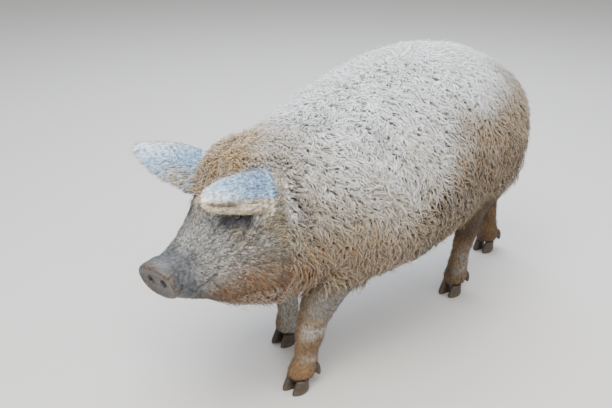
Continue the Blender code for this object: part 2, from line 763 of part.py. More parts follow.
def lips(side: int) -> list:
    """Upper and lower lip along one side, ending behind the disc."""
    sunk = LIP_SUNK * LIP_RADIUS
    return [
        mouth_line(side, MOUTH[:-1], LIP_OFFSET, LIP_RADIUS, sunk),
        mouth_line(side, MOUTH[:-1], -LIP_OFFSET, LIP_RADIUS, sunk),
    ]


def nostril(side: int) -> bpy.types.Object:
    """An oval hole in the disc, narrower inside."""
    axis = snout_axis()
    left = head_frame().to_3x3() @ Vector((1, 0, 0))
    up = axis.cross(left)
    centre = SNOUT_FACE + left * (side * NOSTRIL_SPREAD) + up * NOSTRIL_RISE
    angle = np.linspace(0, 2 * math.pi, 10, endpoint=False)
    rings = []
    for depth, scale in NOSTRIL_LEVELS:
        ring = [
            centre
            + axis * depth
            + left * (NOSTRIL_SIZE[0] * scale * math.cos(a))
            + up * (NOSTRIL_SIZE[1] * scale * math.sin(a))
            for a in angle
        ]
        rings.append(ring)
    return loft("nostril", np.array(rings))


def main() -> None:
    """Build every node of the pig."""
    clear_scene()
    wool = finish_of("curly wool", (0.62, 0.52, 0.38), 0.9)
    skin = finish_of("grey skin", (0.25, 0.22, 0.20), 0.6)
    horn = finish_of("black horn", (0.03, 0.03, 0.03), 0.4)
    eyeball = finish_of("dark eye", (0.02, 0.012, 0.01), 0.1)

    legs, claws, sockets = [], [], []
    for limb, side_name, side, table, top, joint in (
        ("foreleg", "left", 1, FORELEG_LEFT, FORELEG_TOP_Z, FORELEG_KNEE_Z),
        ("foreleg", "right", -1, FORELEG_RIGHT, FORELEG_TOP_Z, FORELEG_KNEE_Z),
        ("hindleg", "left", 1, HINDLEG_LEFT, HINDLEG_TOP_Z, HINDLEG_HOCK_Z),
        ("hindleg", "right", -1, HINDLEG_RIGHT, HINDLEG_TOP_Z, HINDLEG_HOCK_Z),
    ):
        leg, foot, socket = leg_nodes(limb, side_name, side, table, top, joint)
        legs += leg
        claws += foot
        sockets.append(socket)
    whole = fleeced_body()
    for socket in sockets:
        cut_away(whole, socket)

    tail_path = np.array(TAIL)
    tail = tube("tail", tail_path[:, :3], tail_path[:, 3], 10)
    cut_away(whole, tube("tail_socket", tail_path[:, :3], tail_path[:, 3] + SOCKET_GAP, 10))

    forward = head_frame().to_3x3() @ Vector((0, 0, 1))
    head_back = HEAD_ROOT + forward * HEAD_BACK
    head = duplicate(whole, "head")
    cut_away(whole, half_space("neck_front", head_back - forward * GAP / 2, forward))
    cut_away(head, half_space("head_end", head_back + forward * GAP / 2, -forward))
    neck = duplicate(whole, "neck")
    neck_back = Vector((0, NECK_BACK_Y, 0))
    cut_away(neck, half_space("behind", neck_back - Vector((0, GAP / 2, 0)), Vector((0, 1, 0))))
    cut_away(whole, half_space("ahead", neck_back + Vector((0, GAP / 2, 0)), Vector((0, -1, 0))))
    kept_largest(neck)
    kept_largest(whole)
    kept_largest(head)

    snout = snout_object()
    snout_back = SNOUT_FACE - snout_axis() * (SNOUT_LENGTH + GAP)
    cut_away(head, half_space("snout_back", snout_back, snout_axis()))

    eyes = []
    fused(head, [lip for side in (1, -1) for lip in lips(side)])
    for side_name, side in (("left", 1), ("right", -1)):
        cut_away(head, mouth_line(side, MOUTH, 0.0, MOUTH_RADIUS, 0.0))
        frame = eye_frame(side)
        fused(head, [ball("lids", frame, LID_SIZE)])
        cut_away(head, lid_opening(frame))
        cut_away(head, ball("grown", frame, (EYE_RADIUS + SOCKET_GAP,) * 3))
        eyes.append(ball(f"eye_{side_name}", frame, (EYE_RADIUS,) * 3))
    for side in (1, -1):
        cut_away(snout, nostril(side))

    ears = []
    for side_name, row in (("left", EAR_LEFT), ("right", EAR_RIGHT)):
        leaf = ear(f"ear_{side_name}", *row)
        grown = grown_copy(leaf)
        cut(head, grown)
        cut_away(neck, grown)
        ears.append(leaf)
    kept_largest(head)
    kept_largest(neck)
    kept_largest(snout)

    for obj in (whole, neck, tail):
        obj.data.materials.clear()
        obj.data.materials.append(wool)
    for obj in (head, snout, *ears, *legs):
        obj.data.materials.clear()
        obj.data.materials.append(skin)
    for obj in claws:
        obj.data.materials.append(horn)
    for obj in eyes:
        obj.data.materials.append(eyeball)
    for obj in bpy.data.objects:
        obj.location = (-FRAME_CENTRE[0], -FRAME_CENTRE[1], 0.0)


main()
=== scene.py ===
"""A blond Mangalica pig, life size, standing in mid-step: the looks of a museum model.

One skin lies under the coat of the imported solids. Curled locks, stray hairs and short tufts grow on it.
Metres, +Z up. The pig faces -Y and its left side is +X. The floor is z = 0.
"""

import logging
import math
from dataclasses import dataclass
from enum import Enum

import bmesh
import bpy
import numpy as np
from bpy.types import Material, Mesh, Node, NodeSocket, Object
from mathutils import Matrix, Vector
from mathutils.bvhtree import BVHTree


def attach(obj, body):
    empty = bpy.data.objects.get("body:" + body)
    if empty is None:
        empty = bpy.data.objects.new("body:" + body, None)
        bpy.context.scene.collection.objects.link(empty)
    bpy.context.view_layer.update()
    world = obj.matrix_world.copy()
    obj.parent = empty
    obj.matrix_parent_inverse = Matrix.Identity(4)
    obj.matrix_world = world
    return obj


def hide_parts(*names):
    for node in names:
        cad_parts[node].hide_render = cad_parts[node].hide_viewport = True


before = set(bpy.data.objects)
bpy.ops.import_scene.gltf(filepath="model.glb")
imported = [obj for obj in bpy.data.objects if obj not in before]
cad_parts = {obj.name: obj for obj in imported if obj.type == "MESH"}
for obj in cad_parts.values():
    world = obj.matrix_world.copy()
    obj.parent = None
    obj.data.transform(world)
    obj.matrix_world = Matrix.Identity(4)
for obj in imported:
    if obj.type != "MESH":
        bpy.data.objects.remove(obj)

Array = np.ndarray
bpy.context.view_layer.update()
LOG = logging.getLogger("mangalica")
TAU = 2.0 * math.pi

# Trunk: y, top, bottom, half width, height of the widest level, narrowing towards the top.
TRUNK = (
    (-0.386, 0.600, 0.400, 0.110, 0.490, 0.08),
    (-0.356, 0.655, 0.320, 0.170, 0.485, 0.08),
    (-0.306, 0.697, 0.262, 0.212, 0.480, 0.08),
    (-0.216, 0.727, 0.232, 0.250, 0.485, 0.08),
    (-0.066, 0.770, 0.226, 0.279, 0.495, 0.08),
    (0.084, 0.803, 0.246, 0.288, 0.505, 0.06),
    (0.214, 0.816, 0.282, 0.277, 0.515, 0.04),
    (0.334, 0.803, 0.330, 0.252, 0.525, 0.02),
    (0.434, 0.772, 0.366, 0.226, 0.535, 0.00),
    (0.514, 0.732, 0.388, 0.196, 0.545, 0.00),
    (0.574, 0.690, 0.420, 0.156, 0.550, 0.00),
    (0.624, 0.645, 0.456, 0.104, 0.552, 0.00),
    (0.654, 0.600, 0.500, 0.050, 0.550, 0.00),
)
# Neck, the same columns.
NECK = (
    (-0.166, 0.725, 0.300, 0.200, 0.490, 0.08),
    (-0.286, 0.704, 0.262, 0.205, 0.460, 0.12),
    (-0.366, 0.697, 0.262, 0.188, 0.440, 0.16),
    (-0.436, 0.693, 0.276, 0.168, 0.432, 0.22),
    (-0.486, 0.678, 0.296, 0.148, 0.430, 0.28),
    (-0.516, 0.655, 0.318, 0.128, 0.435, 0.28),
    (-0.536, 0.600, 0.360, 0.090, 0.440, 0.28),
)
# Head: distance forward, and the same columns.
HEAD = (
    (0.000, 0.678, 0.284, 0.160, 0.428, 0.28),
    (0.040, 0.668, 0.289, 0.153, 0.425, 0.30),
    (0.080, 0.641, 0.299, 0.142, 0.425, 0.34),
    (0.125, 0.596, 0.313, 0.123, 0.428, 0.38),
    (0.170, 0.554, 0.331, 0.101, 0.433, 0.36),
    (0.215, 0.521, 0.350, 0.080, 0.438, 0.28),
    (0.260, 0.498, 0.368, 0.063, 0.440, 0.18),
    (0.300, 0.487, 0.379, 0.055, 0.437, 0.08),
    (0.330, 0.484, 0.384, 0.052, 0.435, 0.00),
)
HEAD_ROOT = np.array((-0.008, -0.416, 0.0))
HEAD_TURN = math.radians(10.0)

# Snout disc: its depth, tilt, half sizes and the middle of its face.
SNOUT_LENGTH = 0.034
SNOUT_PITCH = math.radians(24.0)
SNOUT_HALF_WIDTH = 0.053
SNOUT_HALF_HEIGHT = 0.050
SNOUT_FACE = np.array((0.050, -0.748, 0.436))

# Legs: z, x outward, y, half width, half length front to back.
FORELEG_LEFT = (
    (0.640, 0.130, -0.141, 0.050, 0.080),
    (0.560, 0.158, -0.156, 0.080, 0.120),
    (0.460, 0.160, -0.186, 0.088, 0.125),
    (0.380, 0.148, -0.218, 0.078, 0.103),
    (0.320, 0.135, -0.248, 0.066, 0.082),
    (0.270, 0.125, -0.281, 0.055, 0.063),
    (0.220, 0.115, -0.306, 0.045, 0.049),
    (0.185, 0.110, -0.318, 0.039, 0.042),
    (0.160, 0.108, -0.323, 0.038, 0.041),
    (0.135, 0.106, -0.327, 0.034, 0.037),
    (0.110, 0.104, -0.331, 0.030, 0.032),
    (0.085, 0.102, -0.335, 0.031, 0.033),
    (0.064, 0.100, -0.340, 0.037, 0.038),
    (0.048, 0.099, -0.347, 0.037, 0.037),
    (0.0363, 0.0985, -0.352, 0.038, 0.036),
)
FORELEG_RIGHT = (
    (0.640, 0.130, -0.131, 0.050, 0.080),
    (0.560, 0.158, -0.141, 0.080, 0.120),
    (0.460, 0.160, -0.161, 0.088, 0.125),
    (0.380, 0.148, -0.176, 0.078, 0.103),
    (0.320, 0.135, -0.184, 0.066, 0.080),
    (0.270, 0.125, -0.192, 0.054, 0.061),
    (0.220, 0.115, -0.200, 0.045, 0.049),
    (0.185, 0.110, -0.204, 0.039, 0.042),
    (0.160, 0.108, -0.204, 0.038, 0.041),
    (0.135, 0.106, -0.202, 0.034, 0.037),
    (0.110, 0.104, -0.200, 0.030, 0.032),
    (0.085, 0.102, -0.199, 0.031, 0.033),
    (0.064, 0.100, -0.200, 0.037, 0.038),
    (0.048, 0.099, -0.204, 0.037, 0.037),
    (0.0363, 0.098, -0.208, 0.038, 0.036),
)
HINDLEG_LEFT = (
    (0.680, 0.105, 0.464, 0.050, 0.070),
    (0.600, 0.120, 0.466, 0.078, 0.100),
    (0.500, 0.122, 0.462, 0.086, 0.116),
    (0.420, 0.117, 0.446, 0.083, 0.118),
    (0.360, 0.105, 0.424, 0.070, 0.098),
    (0.310, 0.091, 0.410, 0.055, 0.072),
    (0.265, 0.078, 0.410, 0.043, 0.054),
    (0.230, 0.071, 0.417, 0.038, 0.047),
    (0.200, 0.067, 0.411, 0.034, 0.041),
    (0.160, 0.064, 0.398, 0.031, 0.034),
    (0.115, 0.061, 0.387, 0.030, 0.032),
    (0.085, 0.060, 0.382, 0.032, 0.033),
    (0.064, 0.059, 0.380, 0.037, 0.037),
    (0.048, 0.058, 0.374, 0.036, 0.037),
    (0.0363, 0.057, 0.370, 0.037, 0.036),
)
HINDLEG_RIGHT = (
    (0.680, 0.105, 0.479, 0.050, 0.070),
    (0.600, 0.120, 0.504, 0.078, 0.105),
    (0.500, 0.122, 0.532, 0.086, 0.122),
    (0.420, 0.117, 0.566, 0.082, 0.116),
    (0.360, 0.105, 0.604, 0.069, 0.092),
    (0.310, 0.091, 0.642, 0.055, 0.070),
    (0.265, 0.078, 0.680, 0.043, 0.054),
    (0.230, 0.071, 0.704, 0.038, 0.047),
    (0.200, 0.067, 0.712, 0.034, 0.041),
    (0.160, 0.064, 0.716, 0.031, 0.034),
    (0.115, 0.061, 0.719, 0.030, 0.032),
    (0.085, 0.060, 0.721, 0.032, 0.033),
    (0.064, 0.059, 0.722, 0.037, 0.037),
    (0.048, 0.058, 0.717, 0.036, 0.037),
    (0.0363, 0.057, 0.713, 0.037, 0.036),
)
FORELEG_TOP_Z = 0.300
HINDLEG_TOP_Z = 0.350
# Main claws: height, half length and half width at each level, and the forward lean.
CLAW_LEVELS = (
    (0.000, 0.0265, 0.0135, 0.0060),
    (0.006, 0.0275, 0.0155, 0.0050),
    (0.020, 0.0240, 0.0150, 0.0015),
    (0.036, 0.0190, 0.0135, -0.0030),
)
CLAW_SPREAD = 0.0185
CLAW_FORWARD = 0.010
DEWCLAW_LENGTH = 0.036
DEWCLAW_RADIUS = 0.0105
DEWCLAW_Z = 0.056
DEWCLAW_BACK = 0.034
DEWCLAW_SPREAD = 0.019

# Ears: root, direction, and the way that the back of the leaf looks.
EAR_LEFT = np.array(((0.112, -0.433, 0.580), (-0.036, -0.983, 0.183), (0.946, 0.026, 0.325)))
EAR_RIGHT = np.array(((-0.092, -0.478, 0.596), (-0.56, -0.74, 0.38), (0.60, -0.28, 0.75)))
EAR_THICKNESS = 0.007
# Half the angle of the ear's arc at its tip, and what the root adds, in degrees.
EAR_BEND_TIP = 14
EAR_BEND_ROOT = 12
EAR_DROOP = 0.008
EAR_SUNK = 0.02

EYE_RADIUS = 0.0135
EYE_FORWARD = 0.128
EYE_Z = 0.541
EYE_SUNK = 0.009
# Half sizes of the lids along the face, up it and out of it, and of the opening between them.
LID_SIZE = (0.025, 0.01786, 0.017575)
LID_OPENING = (0.0135, 0.0065)

# Mouth: distance forward and height, from the corner to the disc.
MOUTH = ((0.224, 0.434), (0.236, 0.4275), (0.250, 0.420), (0.265, 0.4115), (0.280, 0.403), (0.300, 0.392))

# Tail: x, y, z and radius.
TAIL = (
    (0.000, 0.604, 0.610, 0.021),
    (0.000, 0.646, 0.612, 0.020),
    (0.003, 0.674, 0.594, 0.017),
    (0.007, 0.687, 0.556, 0.014),
    (0.011, 0.690, 0.506, 0.012),
    (0.014, 0.690, 0.456, 0.014),
    (0.016, 0.690, 0.411, 0.017),
    (0.017, 0.690, 0.366, 0.012),
    (0.017, 0.690, 0.331, 0.004),
)

# The skin lies this far inside the fleece's outline, and this little inside the short coat.
FLEECE_DEPTH = 0.034
SHORT_DEPTH = 0.0015
# The height over which a leg's root draws in under the fleece.
MASS_BLEND = 0.07
# Distances forward on the head: where its root is hidden, and where its own body ends in the disc.
HEAD_BACK = 0.030
HEAD_START = HEAD_BACK - 0.075
HEAD_END = 0.310
# Nothing of the head is lower than this.
HEAD_LOWEST = 0.24
# Grey dirt on the fleece: x, y, z and radius of each patch.
DIRT = (
    (0.04, -0.245, 0.695, 0.050),
    (0.16, -0.13, 0.66, 0.05),
    (0.21, -0.22, 0.60, 0.035),
    (0.10, 0.42, 0.72, 0.06),
    (0.19, 0.12, 0.58, 0.04),
    (-0.18, 0.05, 0.62, 0.05),
    (-0.12, 0.36, 0.70, 0.05),
)
# Sections along each large form.
SECTIONS = 90
# The most triangles in a piece of the coat.
MOST_TRIANGLES = 196000
# Places drawn by area before they are thinned: coarse, wool and short coat, and face.
FEW_TRIES, TRIES, MANY_TRIES = 60000, 420000, 700000
# No hair gives back more light than this.
BRIGHTEST = 0.93


class Side(Enum):
    """The pig's own sides, with the sign of X on each."""

    LEFT = 1
    RIGHT = -1


class Slot(Enum):
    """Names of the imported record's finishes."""

    FLEECE = "fleece"
    SHORT_COAT = "short_coat"
    CLAW_HORN = "claw_horn"
    EYE = "eye"


# Name, side, sections and height of the root of each leg.
LIMBS = (
    ("foreleg_left", Side.LEFT, FORELEG_LEFT, FORELEG_TOP_Z),
    ("foreleg_right", Side.RIGHT, FORELEG_RIGHT, FORELEG_TOP_Z),
    ("hindleg_left", Side.LEFT, HINDLEG_LEFT, HINDLEG_TOP_Z),
    ("hindleg_right", Side.RIGHT, HINDLEG_RIGHT, HINDLEG_TOP_Z),
)


def linear(code: str) -> Array:
    """Turn a colour to linear light.

    Args:
        code: sRGB hex, such as "#DED8C8".

    Returns:
        Linear red, green and blue.
    """
    share = np.array([int(code[i:i + 2], 16) for i in (1, 3, 5)]) / 255
    return np.where(share <= 0.04045, share / 12.92, ((share + 0.055) / 1.055) ** 2.4)


def ease(value: Array, low: float, high: float) -> Array:
    """Rise smoothly from 0 at one value to 1 at another.

    Args:
        value: the numbers to judge.
        low: where the rise begins. It may be the higher number, for a fall.
        high: where it ends.

    Returns:
        3t² - 2t³ of the share t of the way between them.
    """
    t = np.clip((value - low) / (high - low), 0, 1)
    return t * t * (3 - 2 * t)


def mottle(points: Array, size: float, seed: int) -> Array:
    """Soft patches: the mean of twelve sine waves that run in random directions.

    Args:
        points: places in metres.
        size: the patches' rough width in metres.
        seed: which pattern.

    Returns:
        A number from about -1 to 1 for each place.
    """
    rng = np.random.default_rng(seed)
    ways = rng.normal(size=(12, 3))
    ways *= (TAU / size * rng.uniform(0.45, 1.1, 12) / np.linalg.norm(ways, axis=1))[:, None]
    return np.sin(points @ ways.T + rng.uniform(0, TAU, 12)).sum(axis=1) / 4.0


def unit(vectors: Array) -> Array:
    """Scale vectors to length one."""
    return vectors / np.maximum(np.linalg.norm(vectors, axis=-1, keepdims=True), 1e-9)


def flattened(ways: Array, normals: Array) -> Array:
    """Take out of each way the part that runs along its normal."""
    return ways - normals * (ways * normals).sum(axis=-1, keepdims=True)


def ruffled(ways: Array, normals: Array, rng: np.random.Generator, spread: float) -> Array:
    """Turn each way by chance, and keep it along the skin."""
    turned = unit(ways + spread * rng.normal(0, 1, ways.shape))
    return unit(flattened(turned, normals))


def bell(value: Array, middle: float, width: float) -> Array:
    """A bell curve: e to the minus square of the distance from the middle in widths."""
    return np.exp(-(((value - middle) / width) ** 2))


def circle(count: int) -> Array:
    """Even angles round a circle."""
    return np.linspace(0, TAU, count, endpoint=False)


def globe(tilt: Array, around: Array) -> Array:
    """Places on a unit ball, by the angles from its pole (a column) and round it."""
    ring, height = np.sin(tilt), np.cos(tilt) * np.ones_like(around)
    return np.stack([ring * np.cos(around), ring * np.sin(around), height], axis=-1)


def interpolated(table: tuple, places: Array) -> Array:
    """Read a table between its rows, by cubic curves with the slope of the rows beside.

    Args:
        table: rows whose first number is the place.
        places: the places to read.

    Returns:
        One row for each place, with the place first.
    """
    data = np.asarray(table, float)
    if data[0, 0] > data[-1, 0]:
        data = data[::-1]
    x, y = data[:, 0], data[:, 1:]
    slope = np.gradient(y, x, axis=0)
    index = np.clip(np.searchsorted(x, places) - 1, 0, len(x) - 2)
    step = (x[index + 1] - x[index])[:, None]
    t = np.clip((places - x[index])[:, None] / step, 0, 1)
    a, b, m, n = y[index], y[index + 1], slope[index] * step, slope[index + 1] * step
    row = (2 * t**3 - 3 * t**2 + 1) * a + (t**3 - 2 * t**2 + t) * m
    return np.column_stack([places, row + (3 * t**2 - 2 * t**3) * b + (t**3 - t**2) * n])


def rounded(angle: Array, power: float) -> tuple[Array, Array]:
    """Cosine and sine of a superellipse: a power of 2 is an ellipse, more is squarer."""
    c, s = np.cos(angle), np.sin(angle)
    return np.sign(c) * np.abs(c) ** (2 / power), np.sign(s) * np.abs(s) ** (2 / power)


@dataclass
class Shell:
    """A surface as arrays: points, four-sided faces and three-sided faces."""

    points: Array
    quads: Array
    tris: Array

    @classmethod
    def lofted(cls, rings: Array) -> "Shell":
        """Close a stack of rings with a fan at each end.

        Args:
            rings: an array of rings by points by three, each ring turning the same way.

        Returns:
            The closed shell. Its quads join point j of ring i to point j + 1 and to ring i + 1.
        """
        count, sides, _ = rings.shape
        i, j = np.meshgrid(np.arange(count - 1), np.arange(sides), indexing="ij")
        i, j, k = i.ravel(), j.ravel(), (j.ravel() + 1) % sides
        quads = np.column_stack([i * sides + j, i * sides + k, (i + 1) * sides + k, (i + 1) * sides + j])
        ends = np.array([rings[0].mean(axis=0), rings[-1].mean(axis=0)])
        first, last = count * sides, count * sides + 1
        j = np.arange(sides)
        k = (j + 1) % sides
        low = np.column_stack([k, j, np.full(sides, first)])
        high = np.column_stack([(count - 1) * sides + j, (count - 1) * sides + k, np.full(sides, last)])
        return cls(np.vstack([rings.reshape(-1, 3), ends]), quads, np.vstack([low, high]))

    @classmethod
    def joined(cls, shells: list["Shell"]) -> "Shell":
        """Put several shells in one, each face's numbers moved past the points before it.

        Args:
            shells: the shells.

        Returns:
            All of them as one.
        """
        starts = np.cumsum([0] + [len(shell.points) for shell in shells[:-1]])
        return cls(
            np.vstack([shell.points for shell in shells]),
            np.vstack([shell.quads + start for shell, start in zip(shells, starts)]),
            np.vstack([shell.tris + start for shell, start in zip(shells, starts)]),
        )

    def piece(self, name: str, outward: bool = True) -> Object:
        """Make a smooth mesh object.

        Args:
            name: the piece's name.
            outward: whether its faces are turned to point outward.

        Returns:
            The object, at the origin.
        """
        mesh = bpy.data.meshes.new(name)
        sizes = np.concatenate([np.full(len(self.quads), 4), np.full(len(self.tris), 3)])
        corners = np.concatenate([self.quads.ravel(), self.tris.ravel()]).astype(np.int32)
        mesh.vertices.add(len(self.points))
        mesh.vertices.foreach_set("co", np.ascontiguousarray(self.points, dtype=np.float32).ravel())
        mesh.loops.add(len(corners))
        mesh.loops.foreach_set("vertex_index", corners)
        mesh.polygons.add(len(sizes))
        starts = np.concatenate([[0], np.cumsum(sizes)[:-1]]).astype(np.int32)
        mesh.polygons.foreach_set("loop_start", starts)
        mesh.update(calc_edges=True)
        if outward:
            bm = bmesh.new()
            bm.from_mesh(mesh)
            bmesh.ops.recalc_face_normals(bm, faces=bm.faces)
            bm.to_mesh(mesh)
            bm.free()
        mesh.shade_smooth()
        obj = bpy.data.objects.new(name, mesh)
        bpy.context.scene.collection.objects.link(obj)
        return obj


def applied(obj: Object) -> Object:
    """Make an object's modifiers part of its mesh.

    Args:
        obj: the object.

    Returns:
        The same object, without modifiers.
    """
    graph = bpy.context.evaluated_depsgraph_get()
    mesh = bpy.data.meshes.new_from_object(obj.evaluated_get(graph))
    obj.modifiers.clear()
    obj.data = mesh
    return obj


def remeshed(shells: list[Shell], grain: float, softening: int) -> Object:
    """Melt overlapping closed shells into one surface of even faces.

    Args:
        shells: the closed shells.
        grain: the faces' size in metres.
        softening: how many times each point moves half way to its neighbours' mean.

    Returns:
        The new object.
    """
    obj = Shell.joined(shells).piece("skin")
    remesh = obj.modifiers.new("grain", "REMESH")
    remesh.mode = "VOXEL"
    remesh.voxel_size = grain
    soften = obj.modifiers.new("soften", "SMOOTH")
    soften.factor = 0.5
    soften.iterations = softening
    return applied(obj)


def unite(obj: Object, other: Object) -> None:
    """Fuse another closed object to the first, then remove it.

    Args:
        obj: the object that grows.
        other: the object to fuse to it.
    """
    union = obj.modifiers.new("union", "BOOLEAN")
    union.operation = "UNION"
    union.solver = "MANIFOLD"
    union.object = other
    applied(obj)
    bpy.data.objects.remove(other)


def rows_of(items: bpy.types.bpy_prop_collection, name: str, width: int, kind: type = float) -> Array:
    """Read one property of a mesh's points, edges or corners.

    Args:
        items: the mesh's own list of them.
        name: the property.
        width: how many numbers it has.
        kind: the kind of number.

    Returns:
        One row for each item.
    """
    values = np.empty(len(items) * width, dtype=kind)
    items.foreach_get(name, values)
    return values.reshape(-1, width)


def points_of(mesh: Mesh) -> Array:
    """Read a mesh's points."""
    return rows_of(mesh.vertices, "co", 3)


def normals_of(mesh: Mesh) -> Array:
    """Read the smooth normal at each point of a mesh."""
    return rows_of(mesh.vertex_normals, "vector", 3)


def moved(mesh: Mesh, points: Array) -> None:
    """Set a mesh's points from an array."""
    mesh.vertices.foreach_set("co", np.ascontiguousarray(points, dtype=np.float32).ravel())
    mesh.update()


def relaxed(mesh: Mesh, weight: Array, steps: int) -> None:
    """Move points towards the mean of their neighbours.

    Args:
        mesh: the mesh to change.
        weight: how far each point goes, from 0 to 1.
        steps: how many times.
    """
    a, b = rows_of(mesh.edges, "vertices", 2, np.int64).T
    busy = (weight[a] > 0) | (weight[b] > 0)
    a, b = a[busy], b[busy]
    points = points_of(mesh)
    size = len(points)
    count = np.bincount(a, minlength=size) + np.bincount(b, minlength=size)
    for _ in range(steps):
        mean = np.stack(
            [np.bincount(a, points[b, k], size) + np.bincount(b, points[a, k], size) for k in range(3)],
            axis=1,
        )
        mean /= np.maximum(count, 1)[:, None]
        points += np.where(count > 0, weight, 0.0)[:, None] * (mean - points)
    moved(mesh, points)


def to_line(points: Array, line: Array) -> tuple[Array, Array]:
    """Measure points against a line of straight pieces.

    Args:
        points: the places.
        line: the line's corners.

    Returns:
        The distance to the nearest place on the line, and how far along it that is, from 0 to 1.
    """
    best, where = np.full(len(points), np.inf), np.zeros(len(points))
    for i, (start, stop) in enumerate(zip(line[:-1], line[1:])):
        span = stop - start
        t = np.clip((points - start) @ span / (span @ span), 0, 1)
        gap = np.linalg.norm(points - start - t[:, None] * span, axis=1)
        nearer = gap < best
        best[nearer] = gap[nearer]
        where[nearer] = (i + t[nearer]) / (len(line) - 1)
    return best, where


def body_rings(rows: Array, sides: int, inset: Array) -> Array:
    """Upright sections of a body: superellipses that narrow towards the top.

    Args:
        rows: place, top, bottom, half width, widest level and taper of each section.
        sides: points in a section.
        inset: how far each section is drawn in.

    Returns:
        The lateral offset, the height and the place of each point.
    """
    c, s = rounded(circle(sides), 2.15)
    top, bottom, half, widest, taper = (rows[:, k][:, None] for k in (1, 2, 3, 4, 5))
    over = np.maximum(top - inset - widest, 0.004)
    under = np.maximum(widest - bottom - inset, 0.004)
    height = widest + np.where(s > 0, over * s, under * s)
    side = np.maximum(half - inset, 0.004) * c * (1 - taper * s)
    return np.stack([side, height, np.repeat(rows[:, :1], sides, axis=1)], axis=-1)


def from_leg(points: Array, side: Side, table: tuple, top: float) -> tuple[Array, ...]:
    """Measure places against a leg's own section at their height.

    Args:
        points: places in the pig's frame.
        side: the leg's side.
        table: its sections.
        top: the height of its root.

    Returns:
        How far across and along the body each is from the section's middle, and its half sizes.
    """
    x, y, z = points.T
    _, middle, ahead, width, length = interpolated(table, np.clip(z, table[-1][0], top)).T
    return x - side.value * middle, y - ahead, width, length


def head_turn() -> Array:
    """The head's left, up and forward as the columns of a matrix."""
    c, s = math.cos(HEAD_TURN), math.sin(HEAD_TURN)
    return np.array(((c, 0.0, s), (s, 0.0, -c), (0.0, 1.0, 0.0)))


def from_head(places: Array) -> Array:
    """Turn (left, height, forward) of the head into the pig's frame."""
    return places @ head_turn().T + HEAD_ROOT


def to_head(points: Array) -> Array:
    """Turn places in the pig's frame into (left, height, forward) of the head."""
    return (points - HEAD_ROOT) @ head_turn()


def head_side(forward: Array, height: Array) -> Array:
    """Half width of the head at distances forward and heights, by the superellipse of its sections.

    Args:
        forward: the distances.
        height: the heights.

    Returns:
        The half width at each.
    """
    rows = interpolated(HEAD, np.atleast_1d(forward))
    top, bottom, half, widest, taper = rows.T[1:]
    reach = np.where(height > widest, top - widest, widest - bottom)
    s = np.clip(np.abs(height - widest) / reach, 0, 0.999)
    return half * (1 - s**2.15) ** (1 / 2.15) * (1 - taper * s * np.sign(height - widest))


def mouth_path(side: Side) -> Array:
    """The line between the lips on one side, in the pig's frame.

    Args:
        side: which side.

    Returns:
        The line's corners, from the mouth's corner to the disc.
    """
    forward, height = np.array(MOUTH).T
    reach = head_side(forward, height) - SHORT_DEPTH
    return from_head(np.column_stack([side.value * reach, height, forward]))


def snout_frame() -> Array:
    """The disc's left, up and outward as the columns of a matrix.

    Returns:
        The matrix.
    """
    outward = head_turn() @ np.array((0.0, -math.sin(SNOUT_PITCH), math.cos(SNOUT_PITCH)))
    left = head_turn()[:, 0]
    return np.column_stack([left, np.cross(outward, left), outward])


def to_snout(points: Array) -> Array:
    """Turn places in the pig's frame into (left, up, outward) of the disc."""
    return (points - SNOUT_FACE) @ snout_frame()


def eye_frame(side: Side) -> tuple[Array, Array]:
    """The place of an eye.

    Args:
        side: which eye.

    Returns:
        Its middle, and its forward, up and outward ways as the columns of a matrix.
    """
    reach = float(head_side(EYE_FORWARD, EYE_Z)[0]) - EYE_SUNK
    middle = from_head(np.array((side.value * reach, EYE_Z, EYE_FORWARD)))
    turn = head_turn()
    outward = unit(turn @ np.array((side.value * 0.9, 0.2, 0.38)))
    along = turn @ np.array((-side.value * 0.38, -0.42, 0.9))
    along = unit(flattened(along, outward))
    return middle, np.column_stack([along, -side.value * np.cross(outward, along), outward])


